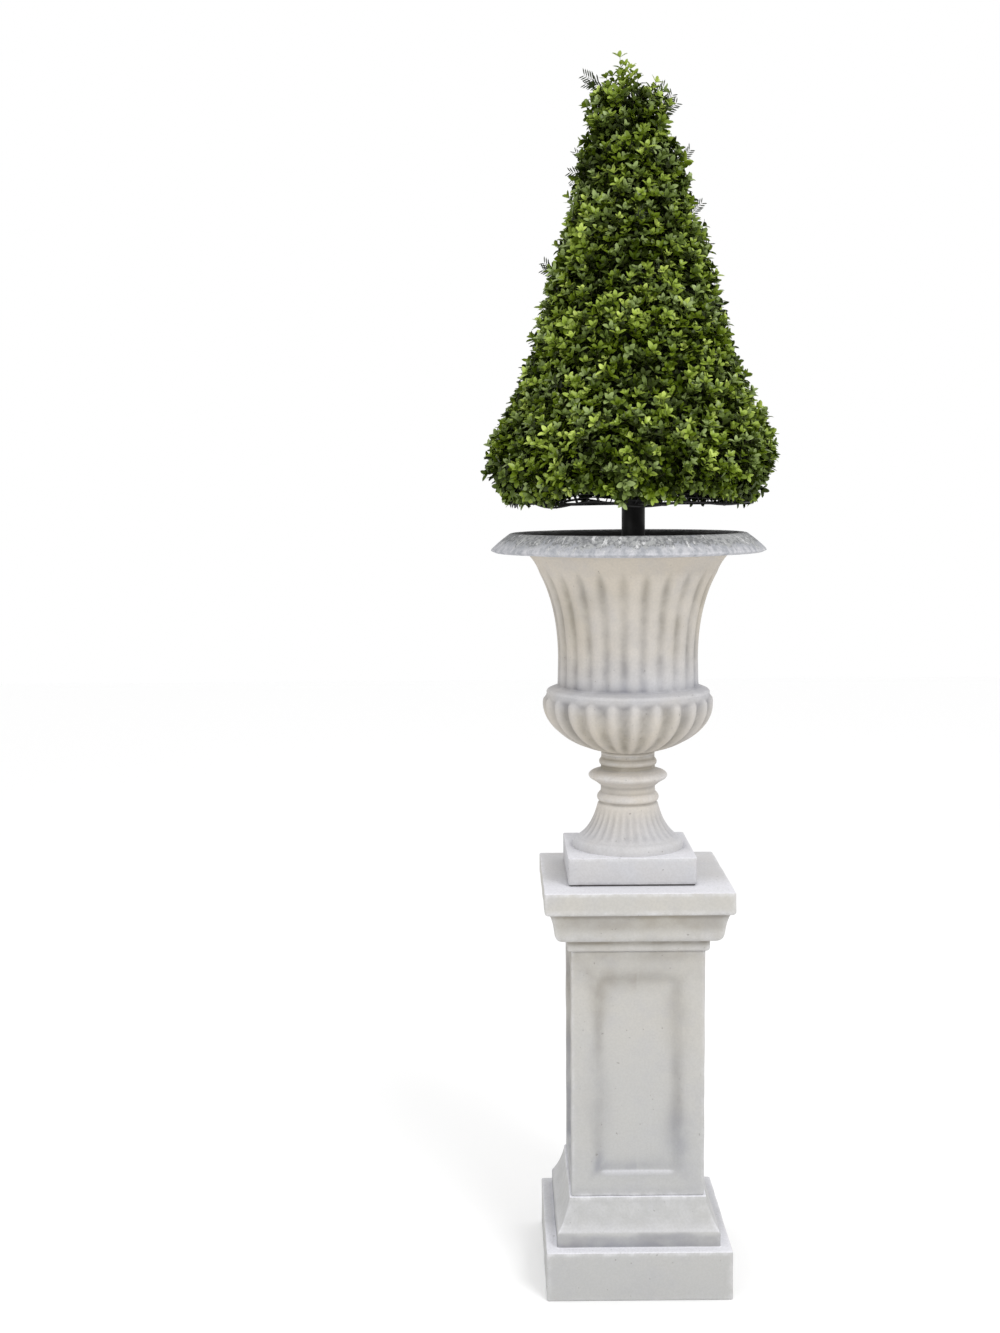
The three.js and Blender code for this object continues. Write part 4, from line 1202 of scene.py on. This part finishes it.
# Tufts of the ragged top: place of the tip, tone there, and size of the leaves
TUFTS = (
    (-23, 0, 2095, "olive", 0.95), (-14, -4, 2080, "olive", 0.95), (-6, -10, 2074, "lime", 1.05),
    (2, 4, 2067, "olive", 1.0), (-16, 8, 2066, "mid", 1.0), (-24, -10, 2062, "olive", 1.0),
    (-35, 8, 2066, "mid", 0.95), (-46, -6, 2060, "mid", 1.0), (6, -14, 2056, "mid", 1.0),
    (-66, 2, 2047, "dark", 1.0), (-80, -4, 2014, "mid", 1.0), (17, 8, 2038, "mid", 1.0),
    (36, -6, 2053, "lime", 1.0), (30, 4, 2044, "olive", 1.0), (46, 6, 2026, "dark", 1.0),
    (54, -4, 2014, "mid", 1.0), (-20, -36, 2040, "olive", 1.0), (10, -38, 2028, "mid", 1.0),
    (-48, -34, 2030, "olive", 1.0), (34, -30, 2010, "dark", 1.0), (-14, 34, 2046, "mid", 1.0),
    (-46, 28, 2040, "dark", 1.0), (26, 30, 2022, "olive", 1.0),
)


def grow_top(growth):
    """Loose sprigs over the top, and the tufts and the leader that stand out of it."""
    for i in range(TOP_SPRIGS):
        radius = TOP_RADIUS * math.sqrt((i + 0.5) / TOP_SPRIGS)
        out = outward(i * GOLDEN_ANGLE)
        sunk = TOP_SUNK + 20 * (radius / TOP_RADIUS) ** 2 + random.normal(0, 9)
        tip = out * radius + Vector((-CROWN_LEAN - 4, 0, CROWN_FOOT + CROWN_HIGH - sunk))
        direction = (out * radius / 60 + Vector((0, 0, 1)) + Vector(random.normal(0, 0.3, 3))).normalized()
        growth.sprig(tip - direction * SPRIG_LENGTH, direction, SPRIG_LENGTH, deal_tones(tip), 3)
    for x, y, top, tone, size in TUFTS:
        tip = Vector((x, y, top))
        root = Vector((x * 0.55 - 4, y * 0.55, min(top - 32, CROWN_FOOT + CROWN_HIGH - TOP_SUNK)))
        along = tip - root
        pairs = max(3, round(along.length / (9 * size)))
        older = WARM_TONES[max(0, WARM_TONES.index(tone) - 1)]
        growth.sprig(root, along, along.length, (older, older, tone, tone), pairs, size)


# Dark filler sprigs that stand out of the outline: place of the tip, and lean from upright in degrees
FEATHERS = (
    (-82, 4, 2067, -62), (-80, -10, 2050, -78), (64, 0, 2033, 30), (70, -8, 2018, 52), (50, 6, 2048, 62),
    (70, 4, 1957, 60), (-97, 0, 1941, -50), (-106, -6, 1908, -78), (94, 4, 1944, 42), (114, 0, 1856, 46),
    (-152, 0, 1748, -70), (-150, 8, 1760, -50), (127, 4, 1790, 44), (176, -6, 1560, 50),
)


def grow_feathers(growth):
    """Dark narrow-leaved filler sprigs that stand out here and there."""
    for x, y, z, lean in FEATHERS:
        direction = Vector((math.sin(math.radians(lean)), 0, math.cos(math.radians(lean))))
        root = Vector((x, y, z)) - direction * FEATHER_LENGTH
        growth.feather(root, direction, FEATHER_LENGTH, "bluish")
    for i, height in enumerate(even_heights(SIDE_FEATHERS)):
        out = outward(i * 2.1 + random.normal(0, 0.2))
        direction = (out + Vector((-out.y, out.x, 0)) * random.normal(0, 0.5)).normalized()
        direction = (direction + Vector((0, 0, random.uniform(0.2, 1.0)))).normalized()
        tip = out * (outline_radius(height) + 1) + Vector((lean_at(height), 0, CROWN_FOOT + max(height, 60)))
        root = tip - direction * SIDE_FEATHER_LENGTH
        growth.feather(root, direction, SIDE_FEATHER_LENGTH, "bluish")


def twig_mesh(twigs):
    """Three-sided twigs, each tapered to its tip."""
    points, faces = [], []
    for root, tip, radius in twigs:
        along = (tip - root).normalized()
        side = along.orthogonal().normalized()
        across = along.cross(side)
        start = len(points)
        for end, share in ((root, 1.0), (tip, 0.6)):
            for k in range(3):
                turn = 2 * math.pi * k / 3
                points.append(tuple(end + (side * math.cos(turn) + across * math.sin(turn)) * radius * share))
        for k in range(3):
            j = (k + 1) % 3
            faces.append((start + k, start + j, start + 3 + j, start + 3 + k))
        faces += [(start + 2, start + 1, start), (start + 3, start + 4, start + 5)]
    return mesh_of("twigs", points, faces)


# Tones of the leaves: colour, lighter bloom, roughness and shine
TONES = {
    "shade": ("080d00", "0c1202", 0.5, 0.06),
    "deep": ("1c2603", "273208", 0.4, 0.1),
    "dark": ("3a4a08", "485910", 0.36, 0.16),
    "mid": ("5f7217", "6e8125", 0.34, 0.28),
    "olive": ("8a9e3c", "99ac4b", 0.33, 0.35),
    "lime": ("afc15b", "bdcc6a", 0.34, 0.35),
    "pine": ("323d13", "3f4b1e", 0.36, 0.16),
    "fern": ("5c6d2f", "6b7c3e", 0.34, 0.28),
    # Greyish light green, partly painted sheen
    "sage": ("869759", "95a568", 0.33, 0.38),
    "bluish": ("252d18", "363e27", 0.42, 0.2),
}


def build_crown():
    growth = Growth()
    grow_side(growth)
    grow_clusters(growth)
    grow_top(growth)
    grow_feathers(growth)
    tree = foliage_tree()
    sprays = spray_collection()
    for tone, look in TONES.items():
        leaves = growth.leaves[tone]
        start = mesh_of(f"{tone}_points", [leaf[0] for leaf in leaves], [], {
            "turn": [leaf[1] for leaf in leaves], "size": [leaf[3] for leaf in leaves],
        })
        start.attributes.new("kind", "INT", "POINT").data.foreach_set("value", [leaf[2] for leaf in leaves])
        finish = moulded_leaf(f"moulded polyethylene leaf, {tone} green", *look)
        values = {"Sprays": sprays, "Size": 1.0, "Material": finish}
        mesh = grown_mesh(f"leaves_{tone}", tree, start, values)
        add_piece(f"leaves_{tone}", mesh, None, "leaves", "crown")
    for template in list(sprays.objects):
        bpy.data.objects.remove(template)
    bpy.data.collections.remove(sprays)
    bark = black_coat("moulded polyethylene twig, brown green", "2b2a14", "3f3d20", 0.6, 5)
    add_piece("twigs", twig_mesh(growth.twigs), bark, "leaves", "crown")
    # The core's near black colour is painted shade between the leaves
    build_core(black_coat("crown core, near black painted shade", "0b0f05", "141a0a", 0.7, 8))


# Floor, light and camera

FLOOR_HALF, FLOOR_TOP = 9000, -0.5
LAMPS_AIM = Vector((0, 0, 1.1))

# Lamps: name, place and size in metres, and power
LAMPS = (("key", (1.5, -3.0, 3.1), 1.5, 60), ("fill", (-2.4, -2.6, 1.6), 2.0, 14))


def build_stage():
    """Plain pale floor, white surroundings and two large soft lamps in front of the object."""
    sides = ((-FLOOR_HALF, -FLOOR_HALF), (FLOOR_HALF, -FLOOR_HALF), (FLOOR_HALF, FLOOR_HALF),
             (-FLOOR_HALF, FLOOR_HALF))
    floor = mesh_of("floor", [(x, y, FLOOR_TOP) for x, y in sides], [(0, 1, 2, 3)])
    paint, _, shader, _ = new_material("matt white floor paint")
    shader.inputs["Base Color"].default_value = linear("fdfdfd")
    shader.inputs["Roughness"].default_value = 0.9
    floor.materials.append(paint)
    placed("floor", floor)

    world = bpy.data.worlds.new("white studio")
    bpy.context.scene.world = world
    world.use_nodes = True
    sky = world.node_tree.nodes["Background"]
    sky.inputs["Color"].default_value = (1.0, 1.0, 1.0, 1.0)
    sky.inputs["Strength"].default_value = 1.0

    for name, spot, size, power in LAMPS:
        light = bpy.data.lights.new(name, "AREA")
        light.shape = "DISK"
        light.size = size
        light.energy = power
        lamp = placed(name, light)
        lamp.location = spot
        lamp.rotation_euler = (LAMPS_AIM - Vector(spot)).to_track_quat("-Z", "Y").to_euler()


def build_camera():
    """Camera at the photograph's place, turned by yaw, pitch and a slight roll."""
    yaw, pitch, roll = (math.radians(a) for a in (CAMERA_YAW, CAMERA_PITCH, CAMERA_ROLL))
    forward = Vector((math.sin(yaw) * math.cos(pitch), math.cos(yaw) * math.cos(pitch), -math.sin(pitch)))
    level = Vector((math.cos(yaw), -math.sin(yaw), 0))
    upright = level.cross(forward)
    right = level * math.cos(roll) - upright * math.sin(roll)
    up = upright * math.cos(roll) + level * math.sin(roll)
    data = bpy.data.cameras.new("camera")
    data.sensor_width = SENSOR
    data.lens = SENSOR * FOCAL_PIXELS / PICTURE_HEIGHT
    turned = Matrix((right, up, -forward)).transposed().to_4x4()
    camera = placed("camera", data)
    camera.matrix_world = Matrix.Translation(Vector(CAMERA_AT) * MM) @ turned
    bpy.context.scene.camera = camera


bpy.context.scene.view_settings.view_transform = "Standard"
build_camera()
build_stage()
build_pedestal(cast_stone("cast fibre stone, pedestal", "adadac", "b3b0aa", "a2a2a7", "8a8b91"))
build_urn(cast_stone("cast fibre stone, urn", "bababd", "beb6aa", "a6a5a8", "7f8088", rim=True))
build_liner(black_coat("brushed black paint", "2b2a2a", "3d3c3b", 0.6, 14))
build_fill(black_coat("dyed rough mortar", "171615", "2c2a28", 0.9, 6))
build_post(black_coat("black enamel on steel tube", "0b0909", "151313", 0.5, 20))
build_lattice(black_coat("black polyethylene, moulded", "0c0b0b", "1b1a1a", 0.45, 10))
build_crown()
